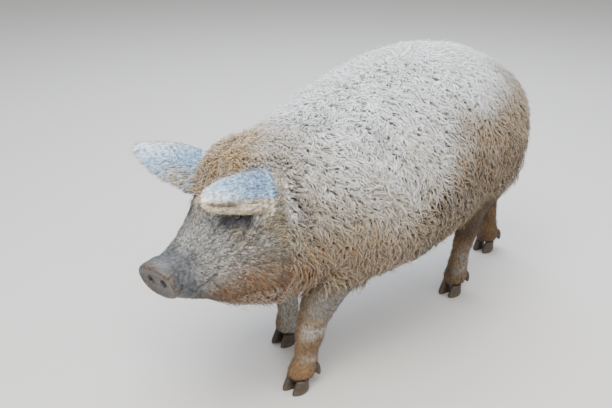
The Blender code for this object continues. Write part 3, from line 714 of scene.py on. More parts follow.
@dataclass(frozen=True)
class Ear:
    """A cupped leaf that hangs forward over the eye, with its front edge rolled under.

    The roll starts and ends at these shares of the half width, and turns by its angle in degrees.
    A higher tip power makes a more pointed tip.
    """

    name: str
    root: Array
    direction: Array
    face: Array
    rolled: float
    length: float
    half: float
    tip_power: float
    roll_start: float
    roll_end: float
    roll_angle: float
    hem: float

    def axes(self) -> Array:
        """The ear's way to the tip, across it, and out of its back, as columns.

        Returns:
            The three ways as a matrix.
        """
        ahead = unit(self.direction)
        up = unit(flattened(self.face, ahead))
        return np.column_stack([ahead, np.cross(ahead, up), up])

    def half_width(self, t: Array) -> Array:
        """Half width along the ear: a power of half a sine wave."""
        wave = np.sin(math.pi * np.minimum(0.4 + 0.6 * t, 1.0))
        return self.half * (0.1 + 0.9 * wave**self.tip_power)

    def shell(self, lengthwise: int = 54, round_edge: int = 72) -> Shell:
        """Sections along the ear: a bowed leaf whose front edge rolls under.

        A section's middle line is walked in small steps of a heading, which turns evenly across the
        bow and much faster in the roll. The wall stands on both sides of it and thins to its edges.

        Args:
            lengthwise: sections.
            round_edge: points round a section.

        Returns:
            The closed ear.
        """
        ahead, across, up = self.axes().T
        t = np.linspace(0, 0.995, lengthwise)[:, None]
        c, s = rounded(circle(round_edge), 2.6)
        walk = np.linspace(-1.0, self.roll_end, 225)
        stride = walk[1] - walk[0]
        bend = np.radians(EAR_BEND_TIP + EAR_BEND_ROOT * (1 - t) ** 1.5)
        roll = math.radians(self.roll_angle) * np.sin(math.pi * np.clip(0.12 + 0.88 * t, 0, 1)) ** 0.6
        turned = np.clip((walk - self.roll_start) / (self.roll_end - self.roll_start), 0, 1)
        heading = bend * walk + roll * turned
        step = self.half_width(t) * bend / np.sin(bend) * stride
        middle = int(np.abs(walk).argmin())
        out, fall = (np.cumsum(wave(heading) * step, axis=1) for wave in (np.cos, np.sin))
        out, fall = (grid - grid[:, middle:middle + 1] for grid in (out, fall))
        place = c * self.rolled
        place = np.where(place > 0, place * self.roll_end, place)
        index = (place + 1.0) / stride
        low = np.clip(index.astype(int), 0, len(walk) - 2)
        share = index - low
        out, fall, heading = (
            grid[:, low] * (1 - share) + grid[:, low + 1] * share for grid in (out, fall, heading)
        )
        thick = EAR_THICKNESS * (0.95 - 0.5 * t) * (1 - 0.3 * np.abs(c))
        lateral = self.rolled * (out + 0.5 * thick * s * np.sin(heading))
        rise = 0.5 * thick * s * np.cos(heading) - fall - 0.5 * EAR_THICKNESS * (1.15 - 0.55 * t)
        ripple = 0.0018 * np.sin(11 * t + 3.0 * c) * np.sin(math.pi * t) - EAR_DROOP * t**2
        hem = bell(place, 0.8 * self.roll_start, 0.14) - 0.8 * bell(place, 0.45 * self.roll_start, 0.07)
        ripple = ripple + self.hem * hem * np.sin(math.pi * np.clip(t, 0.15, 0.97))
        length = (self.length * t - EAR_SUNK) * np.ones_like(c)
        place = self.root + length[..., None] * ahead + lateral[..., None] * across
        return Shell.lofted(place + (rise + ripple)[..., None] * up)

    def local(self, points: Array) -> tuple[Array, Array, Array]:
        """Share of the way to the tip, share of the half width, and height over the arc's crown.

        Args:
            points: places in the pig's frame.

        Returns:
            The three measures of each place.
        """
        ahead, across, up = ((points - self.root) @ self.axes()).T
        t = (ahead + EAR_SUNK) / self.length
        return t, across / self.half_width(np.clip(t, 0, 1)), up

    def lifted(self, t: Array, w: Array) -> Array:
        """Height of the leaf's middle over its plane: an arc across it, with a droop towards its tip."""
        bend = np.radians(EAR_BEND_TIP + EAR_BEND_ROOT * np.clip(1 - t, 0, 1) ** 1.5)
        return -self.half_width(np.clip(t, 0, 1)) * np.tan(0.5 * bend) * w**2 - 0.004 - EAR_DROOP * t**2

    def holds(self, points: Array) -> Array:
        """Whether places are on the ear, past its root. Its rolled edge hangs below the leaf.

        Args:
            points: places in the pig's frame.

        Returns:
            True for each place on the leaf.
        """
        t, w, up = self.local(points)
        over = up - self.lifted(t, w)
        rolled = (w * self.rolled > self.roll_start - 0.15) * 0.024
        return (t > 0.17) & (t < 1.1) & (np.abs(w) < 1.2) & (over < 0.009) & (over > -0.009 - rolled)


EARS = (
    Ear("ear_left", *EAR_LEFT, rolled=-1.0, length=0.241, half=0.06, tip_power=0.46,
        roll_start=0.62, roll_end=1.02, roll_angle=215.0, hem=0.0042),
    Ear("ear_right", *EAR_RIGHT, rolled=1.0, length=0.207, half=0.066, tip_power=0.66,
        roll_start=0.86, roll_end=1.12, roll_angle=120.0, hem=0.0015),
)


def on_ears(points: Array) -> Array:
    """Whether places are on an ear, past its root."""
    return np.any([ear.holds(points) for ear in EARS], axis=0)


@dataclass
class Skin:
    """The whole animal's skin: one closed surface from the disc to the tail."""

    body_grain: float = 0.0081
    head_grain: float = 0.0034
    guide_grain: float = 0.01
    sides: int = 96
    leg_sides: int = 48
    tail_sides: int = 24
    disc_sides: int = 96
    nostril_spread: float = 0.0185
    nostril_depth: float = 0.0165

    def trunk_shells(self, depth: float) -> list[Shell]:
        """Trunk, neck, legs and tail, drawn in by the coat's depth where the fleece grows.

        Args:
            depth: the coat's depth.

        Returns:
            The closed shells, to melt together.
        """
        shells = []
        for table in (TRUNK, NECK):
            rows = interpolated(table, np.linspace(table[0][0], table[-1][0], SECTIONS))
            inset = np.full((SECTIONS, 1), depth)
            if table is NECK:
                inset = depth * ease(rows[:, :1], HEAD_ROOT[1] - 0.035, HEAD_ROOT[1] + 0.03) + 0.004
            shells.append(Shell.lofted(body_rings(rows, self.sides, inset)[..., (0, 2, 1)]))
        for _, side, table, top in LIMBS:
            places = np.linspace(table[-1][0], table[0][0], SECTIONS)
            rows = interpolated(table, places)
            c, s = rounded(circle(self.leg_sides), 2.1)
            inset = (SHORT_DEPTH + depth * np.clip((places - top) / MASS_BLEND, 0, 1))[:, None]
            x = side.value * (rows[:, 1:2] + (rows[:, 3:4] - inset) * c)
            y = rows[:, 2:3] + (rows[:, 4:5] - inset) * s
            z = np.repeat(places[:, None], self.leg_sides, axis=1)
            shells.append(Shell.lofted(np.stack([x, y, z], axis=-1)))
        shells.append(self.tail_shell(1.0 if depth == 0 else 0.62))
        return shells

    def tail_shell(self, share: float) -> Shell:
        """A round tube along the tail, at a share of its full radius.

        Args:
            share: the share of the full radius.

        Returns:
            The closed tail.
        """
        table = np.array(TAIL)
        place = np.linspace(0, len(TAIL) - 1, 60)
        path = interpolated(tuple((i, *row) for i, row in enumerate(table)), place)[:, 1:]
        ahead = unit(np.gradient(path[:, :3], axis=0))
        across = unit(np.cross(ahead, (1.0, 0.0, 0.0)))
        beside = np.cross(ahead, across)
        angle = circle(self.tail_sides)[None, :, None]
        spread = across[:, None] * np.cos(angle) + beside[:, None] * np.sin(angle)
        return Shell.lofted(path[:, None, :3] + spread * path[:, 3][:, None, None] * share)

    def head_shells(self, detail: bool) -> list[Shell]:
        """The head's own body, with its brows, lids, cheeks and lips as closed forms to melt in.

        Args:
            detail: whether brows, lids and lips are wanted.

        Returns:
            The closed shells, to melt together.
        """
        rows = interpolated(HEAD, np.linspace(HEAD_START, HEAD_END if detail else HEAD[-1][0], SECTIONS))
        if not detail:
            return [Shell.lofted(from_head(body_rings(rows, self.sides, np.zeros((SECTIONS, 1)))))]
        rows[:, 2] += 0.014 * ease(rows[:, 0], 0.275, HEAD_END)
        inset = np.full((SECTIONS, 1), SHORT_DEPTH)
        shells = [Shell.lofted(from_head(body_rings(rows, self.sides, inset)))]
        lids, brow, pouch = LID_SIZE, (0.034, 0.012, 0.018), (0.034, 0.014, 0.016)
        swell = 0.45 + 0.45 * np.sin(np.linspace(0.2, 3.0, 12))
        for side in Side:
            middle, turn = eye_frame(side)
            shells += [
                self.ball(middle + turn @ np.array(place), turn, np.array(half))
                for place, half in (((0.0, 0.0, 0.0), lids), ((-0.006, 0.019, -0.012), brow),
                                    ((-0.004, -0.026, -0.015), pouch))
            ]
            for lift, radius in ((0.0085, 0.0085), (-0.0085, 0.008)):
                path = mouth_path(side) + (0.0, 0.0, lift)
                core = from_head(to_head(path) * (0.0, 1.0, 1.0))
                places = self.filled(path - unit(path - core) * 0.0052, 16)
                shells += [self.ball(place, turn, np.full(3, radius * s)) for place, s in zip(places, swell)]
        for ear in EARS:
            ahead, _, up = ear.axes().T
            for step, size in ((0.0, 1.0), (0.014, 0.8), (0.028, 0.55)):
                place = ear.root + ahead * (step - 0.004) - up * (0.006 + 0.01 * size)
                half = np.array((0.024, 0.047, 0.016)) * (0.5 + 0.5 * size)
                shells.append(self.ball(place, ear.axes(), half))
        return shells

    @staticmethod
    def filled(path: Array, count: int) -> Array:
        """Even steps along a path of straight pieces."""
        steps = np.linspace(0, len(path) - 1, count)
        return np.column_stack([np.interp(steps, np.arange(len(path)), path[:, k]) for k in range(3)])

    @staticmethod
    def ball(middle: Array, turn: Array, half: Array, count: int = 24) -> Shell:
        """An ellipsoid: rings of latitude, each a circle of the sine of its angle from the pole.

        Args:
            middle: its middle.
            turn: its own axes as columns.
            half: its half sizes.
            count: points round it.

        Returns:
            The closed ball.
        """
        place = globe(np.linspace(0.06, math.pi - 0.06, count // 2)[:, None], circle(count))
        return Shell.lofted((place * half) @ turn.T + middle)

    def snout_shell(self) -> Shell:
        """The rooting disc: a rounded barrel, a rim, a shallow dish, and two nostrils sunk into it.

        Returns:
            The closed disc. The nostrils push its face in where an oval bump function is near one.
        """
        turn = snout_frame()
        c, s = rounded(circle(self.disc_sides), 2.3)
        barrel = np.linspace(0, 1, 22)
        depth = SNOUT_LENGTH * (1.45 - 1.45 * barrel)
        scale = 0.8 + 0.2 * ease(barrel, 0.0, 0.75) - 0.025 * bell(depth, 0.021, 0.006)
        scale = scale - 0.055 * ease(depth, 0.004, 0.0)
        face = np.linspace(1, 0.02, 42)[1:]
        rim = 0.0012 * bell(face, 0.9, 0.07) - 0.0026 * ease(face, 0.86, 0.45)
        rim = rim - 0.0012 * ease(face, 0.93, 1.0)
        share = np.concatenate([scale, face * scale[-1]])
        out = np.concatenate([-depth, rim])
        side = SNOUT_HALF_WIDTH * share[:, None] * c
        rise = SNOUT_HALF_HEIGHT * share[:, None] * s
        out = np.repeat(out[:, None], self.disc_sides, axis=1)
        front = np.arange(len(share))[:, None] >= len(barrel) - 1
        crease = 0.0011 * np.sin(rise / 0.0021 + 4 * np.abs(side) / 0.05) * bell(side, 0.0, 0.035)
        out = out + np.where(front, 0.25 * crease, 0.0)
        for sign in (one.value for one in Side):
            a = (side - sign * self.nostril_spread) / 0.0078 - 0.12 * sign * rise / 0.0115
            b = (rise - 0.004) / 0.0118
            away = np.hypot(a, b)
            pit = self.nostril_depth * ease(away, 1.06, 0.45) * (0.86 + 0.14 * ease(away, 0.8, 0.0))
            lip = 0.0013 * bell(away, 1.3, 0.2)
            out = out + np.where(front, lip - pit, 0.0)
        place = np.stack([side, rise, out], axis=-1)
        return Shell.lofted(place @ turn.T + SNOUT_FACE)

    def refine(self, obj: Object) -> None:
        """Divide the faces round the eyes twice and along the mouth once.

        Args:
            obj: the skin.
        """
        middles = [eye_frame(side)[0] for side in Side]
        for radius, with_mouth in ((0.034, True), (0.021, False)):
            points = points_of(obj.data)
            near = np.zeros(len(points), dtype=bool)
            for middle in middles:
                near |= np.linalg.norm(points - middle, axis=1) < radius
            if with_mouth:
                for side in Side:
                    near |= to_line(points, mouth_path(side))[0] < 0.01
            bm = bmesh.new()
            bm.from_mesh(obj.data)
            bm.verts.ensure_lookup_table()
            chosen = set(np.flatnonzero(near).tolist())
            edges = [edge for edge in bm.edges if chosen.issuperset(vert.index for vert in edge.verts)]
            bmesh.ops.subdivide_edges(bm, edges=edges, cuts=1, use_grid_fill=True)
            bmesh.ops.triangulate(bm, faces=[face for face in bm.faces if len(face.verts) > 4])
            bm.to_mesh(obj.data)
            bm.free()

    def sculpt(self, mesh: Mesh) -> None:
        """Raise and sink the face along its normals: folds, lips, wrinkles, and lids round the eyes.

        Args:
            mesh: the skin's mesh.
        """
        points, normals = points_of(mesh), normals_of(mesh)
        side, height, forward = to_head(points).T
        on_head = ease(forward, 0.02, 0.07) * ~on_ears(points)
        on_face = on_head * ease(forward, 0.335, 0.31)
        rise = 0.0006 * mottle(points, 0.012, 5) * on_face
        for one in Side:
            gap, along = to_line(points, mouth_path(one))
            ends = ease(along, 0.0, 0.1) * ease(along, 1.0, 0.6)
            rise -= 0.0028 * bell(gap, 0.0, 0.0028) * ends
            rise += 0.001 * bell(gap, 0.008, 0.0042) * ends
            corner = from_head(np.array((one.value * 0.074, 0.438, 0.214)))
            away = np.linalg.norm(points - corner, axis=1)
            rise -= 0.0045 * bell(away, 0.0, 0.008)
            rise += on_face * 0.0016 * bell(away, 0.016, 0.005) * (forward < 0.214)
            middle, turn = eye_frame(one)
            local = (points - middle) @ turn
            away = np.hypot(local[:, 0] * 0.85, local[:, 1])
            angle = np.arctan2(local[:, 1], local[:, 0])
            ahead = local[:, 2] > 0
            for k, (radius, depth, turn_at) in enumerate(
                ((0.0245, 0.0016, -1.9), (0.033, 0.002, -2.0), (0.043, 0.0016, -2.1), (0.027, 0.0014, 1.6))
            ):
                near = ease(np.cos(angle - turn_at + 0.15 * np.sin(7 * angle + k)), 0.1, 0.9)
                rise -= ahead * depth * bell(away, radius, 0.0026) * near
                rise += ahead * 0.5 * depth * bell(away - radius, 0.005, 0.003) * near
        wave = np.sin((forward + 0.28 * (height - 0.47)) / 0.0028 + 1.2 * mottle(points, 0.05, 6))
        muzzle = ease(forward, 0.235, 0.275) * on_face * ease(height, 0.425, 0.445)
        rise += 0.0013 * muzzle * wave
        long_wave = np.sin((forward * 0.9 - 0.5 * np.abs(side)) / 0.0065 + 1.5 * mottle(points, 0.09, 7))
        rise += 0.0012 * on_face * ease(forward, 0.1, 0.2) * ease(forward, 0.26, 0.2) * long_wave
        fold = forward + 0.35 * (height - 0.42) - 0.052
        rise -= 0.006 * bell(fold, 0.0, 0.006) * on_head * ease(height, 0.56, 0.45)
        jowl = bell(forward, 0.1, 0.055) * bell(height, 0.345, 0.05)
        rise += on_head * jowl * (0.004 + 0.0022 * np.sin(forward / 0.008 + side / 0.02))
        lower = ease(points[:, 2], 0.3, 0.24)
        tendon = np.sin(points[:, 2] / 0.004 + 2.0 * mottle(points, 0.06, 8))
        rise += lower * 0.0007 * tendon + lower * 0.001 * mottle(points, 0.03, 9)
        points = points + rise[:, None] * normals
        for one in Side:
            points = self.lidded(points, one)
        moved(mesh, points)

    @staticmethod
    def lidded(points: Array, side: Side) -> Array:
        """Open almond lids over an eye.

        Args:
            points: the skin's points.
            side: which eye.

        Returns:
            The points: inside the almond they sink behind the eyeball's face, and round it they
            lie on it by a lid's thickness. The almond is |up| < height * (1 - (along / length)²).
        """
        middle, turn = eye_frame(side)
        local = (points - middle) @ turn
        away = np.linalg.norm(local, axis=1)
        along = (local[:, 0] + 0.001) / (LID_OPENING[0] * 1.12)
        slant = local[:, 1] + 0.1 * local[:, 0]
        reach = LID_OPENING[1] * np.where(slant > 0, 1.15, 0.95) * np.clip(1 - along**2, 0.0, 1)
        edge = (np.abs(slant) - reach) / 0.001
        edge = np.where(np.abs(along) > 1, np.maximum(edge, (np.abs(along) - 1) * 14), edge)
        front = (local[:, 2] > 0.002) & (away < 0.03)
        lid = EYE_RADIUS + 0.0022 + 0.001 * bell(edge, 2.2, 1.6)
        lid = lid + np.maximum(away - lid, 0) * ease(edge, 3.0, 13.0)
        behind = EYE_RADIUS - 0.003
        target = behind + (lid - behind) * ease(edge, 0.0, 1.6)
        scale = np.where(front & (edge < 13.0), target / np.maximum(away, 1e-6), 1.0)
        return middle + (local * scale[:, None]) @ turn.T

    def build(self) -> Object:
        """Melt, fuse, refine and shape the skin.

        Returns:
            The finished piece, without its material.
        """
        skin = remeshed(self.trunk_shells(FLEECE_DEPTH), self.body_grain, 8)
        unite(skin, remeshed(self.head_shells(True), self.head_grain, 5))
        for ear in EARS:
            unite(skin, ear.shell().piece(ear.name))
        unite(skin, self.snout_shell().piece("disc"))
        skin.name = "skin"
        self.refine(skin)
        points = points_of(skin.data)
        seam = np.zeros(len(points))
        for ear in EARS:
            t, w, up = ear.local(points)
            on_leaf = (np.abs(w) < 1.3) & (np.abs(up) < 0.03)
            seam = np.maximum(seam, ease(np.abs(t - 0.14), 0.12, 0.04) * on_leaf)
        left, up, out = to_snout(points).T
        seam = np.maximum(seam, bell(out + SNOUT_LENGTH, -0.004, 0.007) * (np.hypot(left, up) < 0.1))
        back = to_head(points)[:, 2]
        seam = np.maximum(seam, bell(back - HEAD_BACK, -0.03, 0.03) * (points[:, 2] > 0.25))
        relaxed(skin.data, 0.6 * seam, 14)
        self.sculpt(skin.data)
        skin.data.shade_smooth()
        return skin

    def outline(self) -> Object:
        """The solids' own outline, out to the tips, as a guide for the coat's depth."""
        return remeshed(self.trunk_shells(0.0) + self.head_shells(False), self.guide_grain, 2)


@dataclass(frozen=True)
class Markings:
    """The coat's and the skin's colours over the whole animal, as one rule of place."""

    cream: str = "#EFF4F5"
    pale_wool: str = "#CBC9BF"
    beige_wool: str = "#98876A"
    ochre_wool: str = "#85673F"
    brown_wool: str = "#573E27"
    grey_dirt: str = "#717677"
    poll_ochre: str = "#A47F47"
    face_grey: str = "#8B8B87"
    forehead_grey: str = "#7C7C77"
    cheek_ochre: str = "#897859"
    jowl_brown: str = "#7A5227"
    muzzle_slate: str = "#3C3F43"
    disc_brown: str = "#4C4540"
    rim_brown: str = "#675749"
    eye_slate: str = "#35343E"
    ear_white: str = "#DAD9D2"
    ear_blue: str = "#6F9DC6"
    ear_vein: str = "#41608A"
    ear_edge: str = "#B09D7E"
    leg_brown: str = "#755A3B"
    leg_pale_and_light: str = "#9D9B92"
    leg_slate: str = "#706F6A"
    leg_tan: str = "#746650"
    leg_dark_and_shade: str = "#493727"
    mouth_and_fold_shade: str = "#3A2F2B"
    dark_hair: str = "#3A3837"
    tan_lock: str = "#B4946A"
    pale_lash: str = "#8F8878"

    def colour(self, points: Array) -> Array:
        """Give each place its colour.

        Args:
            points: places on the skin, in the pig's frame.

        Returns:
            Linear colours. Each is laid over the last by a smooth mask of height, place and mottle.
        """
        x, y, z = points.T
        side, height, forward = to_head(points).T
        broad, small = mottle(points, 0.16, 21), mottle(points, 0.05, 22)
        fine = mottle(points, 0.016, 23)
        level = z + 0.022 * broad + 0.012 * small
        colours = np.tile(linear(self.cream), (len(points), 1))

        def lay(code: str, mask: Array) -> None:
            """Lay a colour over the rest by a mask."""
            colours[:] += np.clip(mask, 0, 1)[:, None] * (linear(code) - colours)

        # Fleece: cream above, ochre and brown below and on the ham, with painted shade in the fold before the
        # hind leg.
        lay(self.pale_wool, 0.75 * ease(level, 0.62, 0.53) + 0.16 * small)
        flecks = (0.1 * fine + 0.22 * small) * ease(level, 0.74, 0.62)
        lay(self.beige_wool, 0.85 * ease(level, 0.57, 0.45) + flecks)
        lay(self.ochre_wool, 0.85 * ease(level, 0.5, 0.41))
        lay(self.brown_wool, 0.65 * ease(level, 0.42, 0.31))
        aft = y + 0.045 * small + 0.5 * np.maximum(0.58 - z, 0)
        ham = ease(aft, -0.06, 0.17) * ease(level - 0.03 * ease(y, 0.5, 0.7), 0.745, 0.61)
        lay(self.beige_wool, 0.92 * ham)
        lay(self.ochre_wool, 0.85 * ham * ease(level, 0.72, 0.59) * (0.9 + 0.3 * small))
        lay(self.brown_wool, 0.95 * ham * ease(level, 0.6, 0.505))
        # Painted shade: the fold between belly and ham, before the hind leg, is laid dark.
        flank_fold_shade = bell(aft, 0.095, 0.055) * ease(z, 0.535, 0.49) * (np.abs(x) > 0.06)
        lay(self.leg_dark_and_shade, 0.92 * flank_fold_shade * (0.85 + 0.3 * small))
        shoulder = bell(y, -0.24, 0.12) * ease(z, 0.52, 0.4)
        lay(self.ochre_wool, 0.15 * shoulder * (0.7 + 0.4 * small))
        for *place, radius in DIRT:
            away = np.linalg.norm(points - place, axis=1) + 0.02 * small
            lay(self.grey_dirt, 0.45 * ease(away, radius, 0.3 * radius))
        lay(self.beige_wool, 0.3 * ease(y, 0.34, 0.48) * ease(level, 0.8, 0.7))
        neck = ease(y, -0.26, -0.38)
        lay(self.beige_wool, 0.4 * neck * ease(z, 0.4, 0.55) * (0.8 + 0.3 * small))
        # Head: grey face, ochre cheeks and poll, brown jowl, slate muzzle.
        face = ease(forward + 0.01 * small, 0.012, 0.045)
        lay(self.face_grey, face)
        lay(self.forehead_grey, face * 0.7 * ease(height, 0.5, 0.58) * (0.8 + 0.4 * small))
        lay(self.cheek_ochre, face * ease(forward, 0.19, 0.05) * (0.62 + 0.3 * small))
        lay(self.beige_wool, face * ease(forward, 0.26, 0.13) * (0.2 + 0.35 * small))
        under = ease(height + 0.014 * small + 0.2 * np.maximum(forward - 0.16, 0), 0.47, 0.38)
        lay(self.jowl_brown, ease(forward, -0.06, 0.02) * under * ease(forward, 0.29, 0.2) * 0.88)
        lay(self.face_grey, face * 0.25 * np.clip(fine, 0, 1))
        specks = ease(mottle(points, 0.0085, 28), 0.25, 0.9)
        lay(self.muzzle_slate, face * 0.55 * specks * ease(forward, 0.02, 0.08))
        muzzle = ease(forward + 0.016 * small + 0.1 * (height - 0.44), 0.225, 0.285)
        lay(self.muzzle_slate, face * muzzle * 0.9)
        raised = height + 0.01 * small + 0.9 * np.maximum(forward - 0.05, 0)
        poll = ease(forward, 0.155, 0.125) * ease(y, -0.23, -0.38) * ease(raised, 0.585, 0.62)
        lay(self.pale_wool, 0.85 * poll)
        lay(self.beige_wool, 0.45 * poll)
        near_side = ease(side - 0.45 * forward + 0.014 * small, 0.04, 0.0)
        lay(self.poll_ochre, 0.92 * poll * near_side * (0.85 + 0.25 * small))
        # Painted shade: the crease where the head meets the neck's fleece is laid dark.
        crease = bell(forward + 0.01 * small, -0.02, 0.012) * ease(z, 0.62, 0.58) * ease(z, 0.42, 0.48)
        lay(self.leg_dark_and_shade, 0.8 * crease)
        # Disc and lips.
        left, rise, out = to_snout(points).T
        on_disc = ease(out, -0.016, -0.009) * (forward > 0.28)
        lay(self.disc_brown, on_disc * 0.85 * (0.85 + 0.25 * fine))
        rim = bell(np.hypot(left / SNOUT_HALF_WIDTH, rise / SNOUT_HALF_HEIGHT), 0.92, 0.1)
        lay(self.rim_brown, on_disc * rim * 0.6 * (0.8 + 0.4 * small))
        for one in Side:
            gap, along = to_line(points, mouth_path(one))
            lay(self.muzzle_slate, 0.6 * ease(gap, 0.013, 0.005) * face)
            # Painted shade: the slit between the lips is laid dark, darkest towards the corner.
            lay(self.mouth_and_fold_shade, (0.3 + 0.5 * ease(along, 0.45, 0.0)) * ease(gap, 0.007, 0.0018) * face)
        # Ears: slate skin laid blue, partly as painted sky light, with pale streaks, and a tan edge. The near
        # one has veins and painted shadow in its rolled fold.
        for ear in EARS:
            t, w, up = ear.local(points)
            over = up - ear.lifted(t, w)
            near, w = ear.rolled < 0, w * ear.rolled
            on_ear = (t > 0.03) * (t < 1.1) * (over < 0.013) * ease(over, -0.014 - 0.016 * (w > 0.45), -0.009)
            on_ear = on_ear * ease(t, 0.08, 0.16) * ease(-w, 1.2, 1.1) * ease(w / ear.roll_start, 1.42, 1.32)
            # Partly painted light: the ears' slate skin is laid blue, the blue standing for cool sky light.
            lay(self.ear_blue, on_ear)
            streaks = 0.5 + 0.5 * np.sin(22 * w / (0.25 + t) + 6 * small)
            tip = ease(t + 0.08 * small + 0.3 * w, 0.4, 1.0)
            lay(self.ear_white, on_ear * (0.06 + 0.24 * streaks + (0.75 if near else 0.35) * tip))
            edge = (0.12 * ear.roll_start, 0.34 * ear.roll_start) if near else (0.8, 0.95)
            roll = ease(w, *edge)
            lay(self.ear_edge, on_ear * roll * 0.85)
            # Painted shadow: the groove of the near ear's rolled edge is laid dark.
            fold_shadow = bell(w / ear.roll_start, 0.55, 0.22) * ease(t, 0.52, 0.62) * ease(t, 0.97, 0.9)
            lay(self.mouth_and_fold_shade, on_ear * near * 0.98 * fold_shadow)
            veins = bell(t, 0.27, 0.14) * ease(w, 0.1, -0.5) * streaks**2
            lay(self.ear_vein, on_ear * near * 0.75 * veins)
            lay(self.cheek_ochre, on_ear * roll * ease(over, -0.004, -0.012) * 0.7)
            lay(self.ear_edge, on_ear * ease(-w, 0.8, 1.0) * 0.4)
            hair = 0.85 * ease(-w, -0.2, 0.6) * ease(t, 0.8, 0.4) * (0.8 + 0.4 * fine)
            lay(self.beige_wool, on_ear * (not near) * hair)
        # Eyes' dark surrounds.
        for one in Side:
            middle, turn = eye_frame(one)
            local = (points - middle) @ turn
            away = np.hypot((local[:, 0] + 0.014) / 1.85, local[:, 1] + 0.006) + 0.005 * small
            on_head = (local[:, 2] > -0.03) * (local[:, 2] < 0.024)
            lay(self.eye_slate, on_head * 0.93 * ease(away, 0.038, 0.02))
        # Legs, the two fore ones first. Their hair stands 12 mm out.
        for number, (_, one, table, top) in enumerate(LIMBS):
            across, along, width, length = from_leg(points, one, table, top)
            across, along = across / (width + 0.012), along / (length + 0.012)
            on_leg = (np.hypot(across, along) < 1.15) * ease(z + 0.012 * small, top + 0.03, top - 0.03)
            lay(self.leg_brown, on_leg)
            lay(self.leg_tan, on_leg * ease(z, 0.16, 0.24) * (0.75 + 0.3 * small) * (number < 2))
            outward = ease(one.value * across - 0.3 * along, -0.1, 0.7)
            if number < 2:
                lay(self.leg_slate, on_leg * 0.85 * outward * ease(z, 0.205, 0.235))
                lay(self.beige_wool, on_leg * 0.6 * ease(along, 0.45, 0.9) * ease(z, 0.18, 0.24))
                patch = bell(z - 0.01 * small, 0.178, 0.027) + 0.5 * bell(z, 0.098, 0.013)
                lay(self.leg_pale_and_light, on_leg * outward * patch * 0.85)
                lay(self.leg_dark_and_shade, on_leg * 0.5 * bell(z, 0.135, 0.016) * ease(along, -0.2, 0.6))
                # Painted light: the right foreleg's inner side, which lies in shade, is laid pale.
                lay(self.leg_pale_and_light, on_leg * (one.value < 0) * 0.9 * ease(-one.value * across, -0.3, 0.4))
            else:
                lay(self.leg_dark_and_shade, on_leg * (0.4 + 0.25 * small + 0.55 * ease(z, 0.15, 0.22)))
                pale = outward * bell(z, 0.115, 0.045) * (0.8 + 0.4 * small)
                lay(self.leg_pale_and_light, on_leg * 0.45 * pale)
            lay(self.leg_dark_and_shade, on_leg * 0.35 * ease(along, 0.4, 0.9) + on_leg * 0.35 * ease(z, 0.065, 0.04))
        return colours * (1 + 0.05 * fine)[:, None]

    @staticmethod
    def bareness(points: Array) -> Array:
        """How bare the skin is: 1 on the disc, the lips and round the eyes, 0 under the coat.

        Args:
            points: places on the skin.

        Returns:
            A number from 0 to 1 for each place.
        """
        forward = to_head(points)[:, 2]
        out = to_snout(points)[:, 2]
        bare = 0.45 * ease(forward, 0.27, 0.31) + 0.55 * ease(out, -0.034, -0.026) * (forward > 0.28)
        for side in Side:
            middle, _ = eye_frame(side)
            away = np.linalg.norm(points - middle, axis=1)
            bare = np.maximum(bare, ease(away, 0.034, 0.022))
            bare = np.maximum(bare, 0.8 * ease(to_line(points, mouth_path(side))[0], 0.009, 0.004))
        return bare


def paint(mesh: Mesh, name: str, colours: Array) -> None:
    """Keep a linear colour for each point of a mesh, under a name that a material reads.

    Args:
        mesh: the mesh.
        name: the attribute's name.
        colours: a colour or a number for each point.
    """
    layer = mesh.color_attributes.new(name, "FLOAT_COLOR", "POINT")
    rows = np.ones((len(colours), 4), dtype=np.float32)
    rows[:, :3] = colours if colours.ndim == 2 else colours[:, None]
    layer.data.foreach_set("color", rows.ravel())


def dress(piece: Object, material: Material, slot: Slot, *nodes: str) -> None:
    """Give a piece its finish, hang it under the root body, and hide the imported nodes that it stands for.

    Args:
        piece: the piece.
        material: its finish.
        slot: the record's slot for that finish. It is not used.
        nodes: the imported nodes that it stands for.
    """
    piece.data.materials.clear()
    piece.data.materials.append(material)
    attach(piece, "root")
    if nodes:
        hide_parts(*nodes)


class Tree:
    """A material's nodes, from its Principled shader up."""

    def __init__(self, name: str) -> None:
        """Start a material of the given name.

        Args:
            name: the material's name.
        """
        self.material = bpy.data.materials.new(name)
        self.material.use_nodes = True
        self.nodes = self.material.node_tree.nodes
        self.links = self.material.node_tree.links
        self.shader = self.nodes["Principled BSDF"]

    def add(self, kind: str, inputs: dict | None = None, **settings: object) -> Node:
        """Add a node.

        Args:
            kind: the node's Blender type, without its first word.
            inputs: for each socket by name or number, a value, a socket, or a node for its first socket.
            settings: the node's own properties.

        Returns:
            The node.
        """
        node = self.nodes.new("ShaderNode" + kind)
        for key, value in settings.items():
            setattr(node, key, value)
        for key, value in (inputs or {}).items():
            self.feed(node, key, value)
        return node

    def feed(self, node: Node, key: str | int, value: object) -> None:
        """Give a node's socket a value or a link.

        Args:
            node: the node.
            key: the socket's name or number.
            value: a value, a socket or a node.
        """
        if isinstance(value, Node):
            value = value.outputs[0]
        if isinstance(value, NodeSocket):
            self.links.new(value, node.inputs[key])
        else:
            node.inputs[key].default_value = value

    def shade(self, **inputs: object) -> Material:
        """Set the shader's sockets, with _ for a space in their names, and give the material.

        Args:
            inputs: a value, a socket or a node for each.

        Returns:
            The material.
        """
        for key, value in inputs.items():
            self.feed(self.shader, key.replace("_", " "), value)
        return self.material


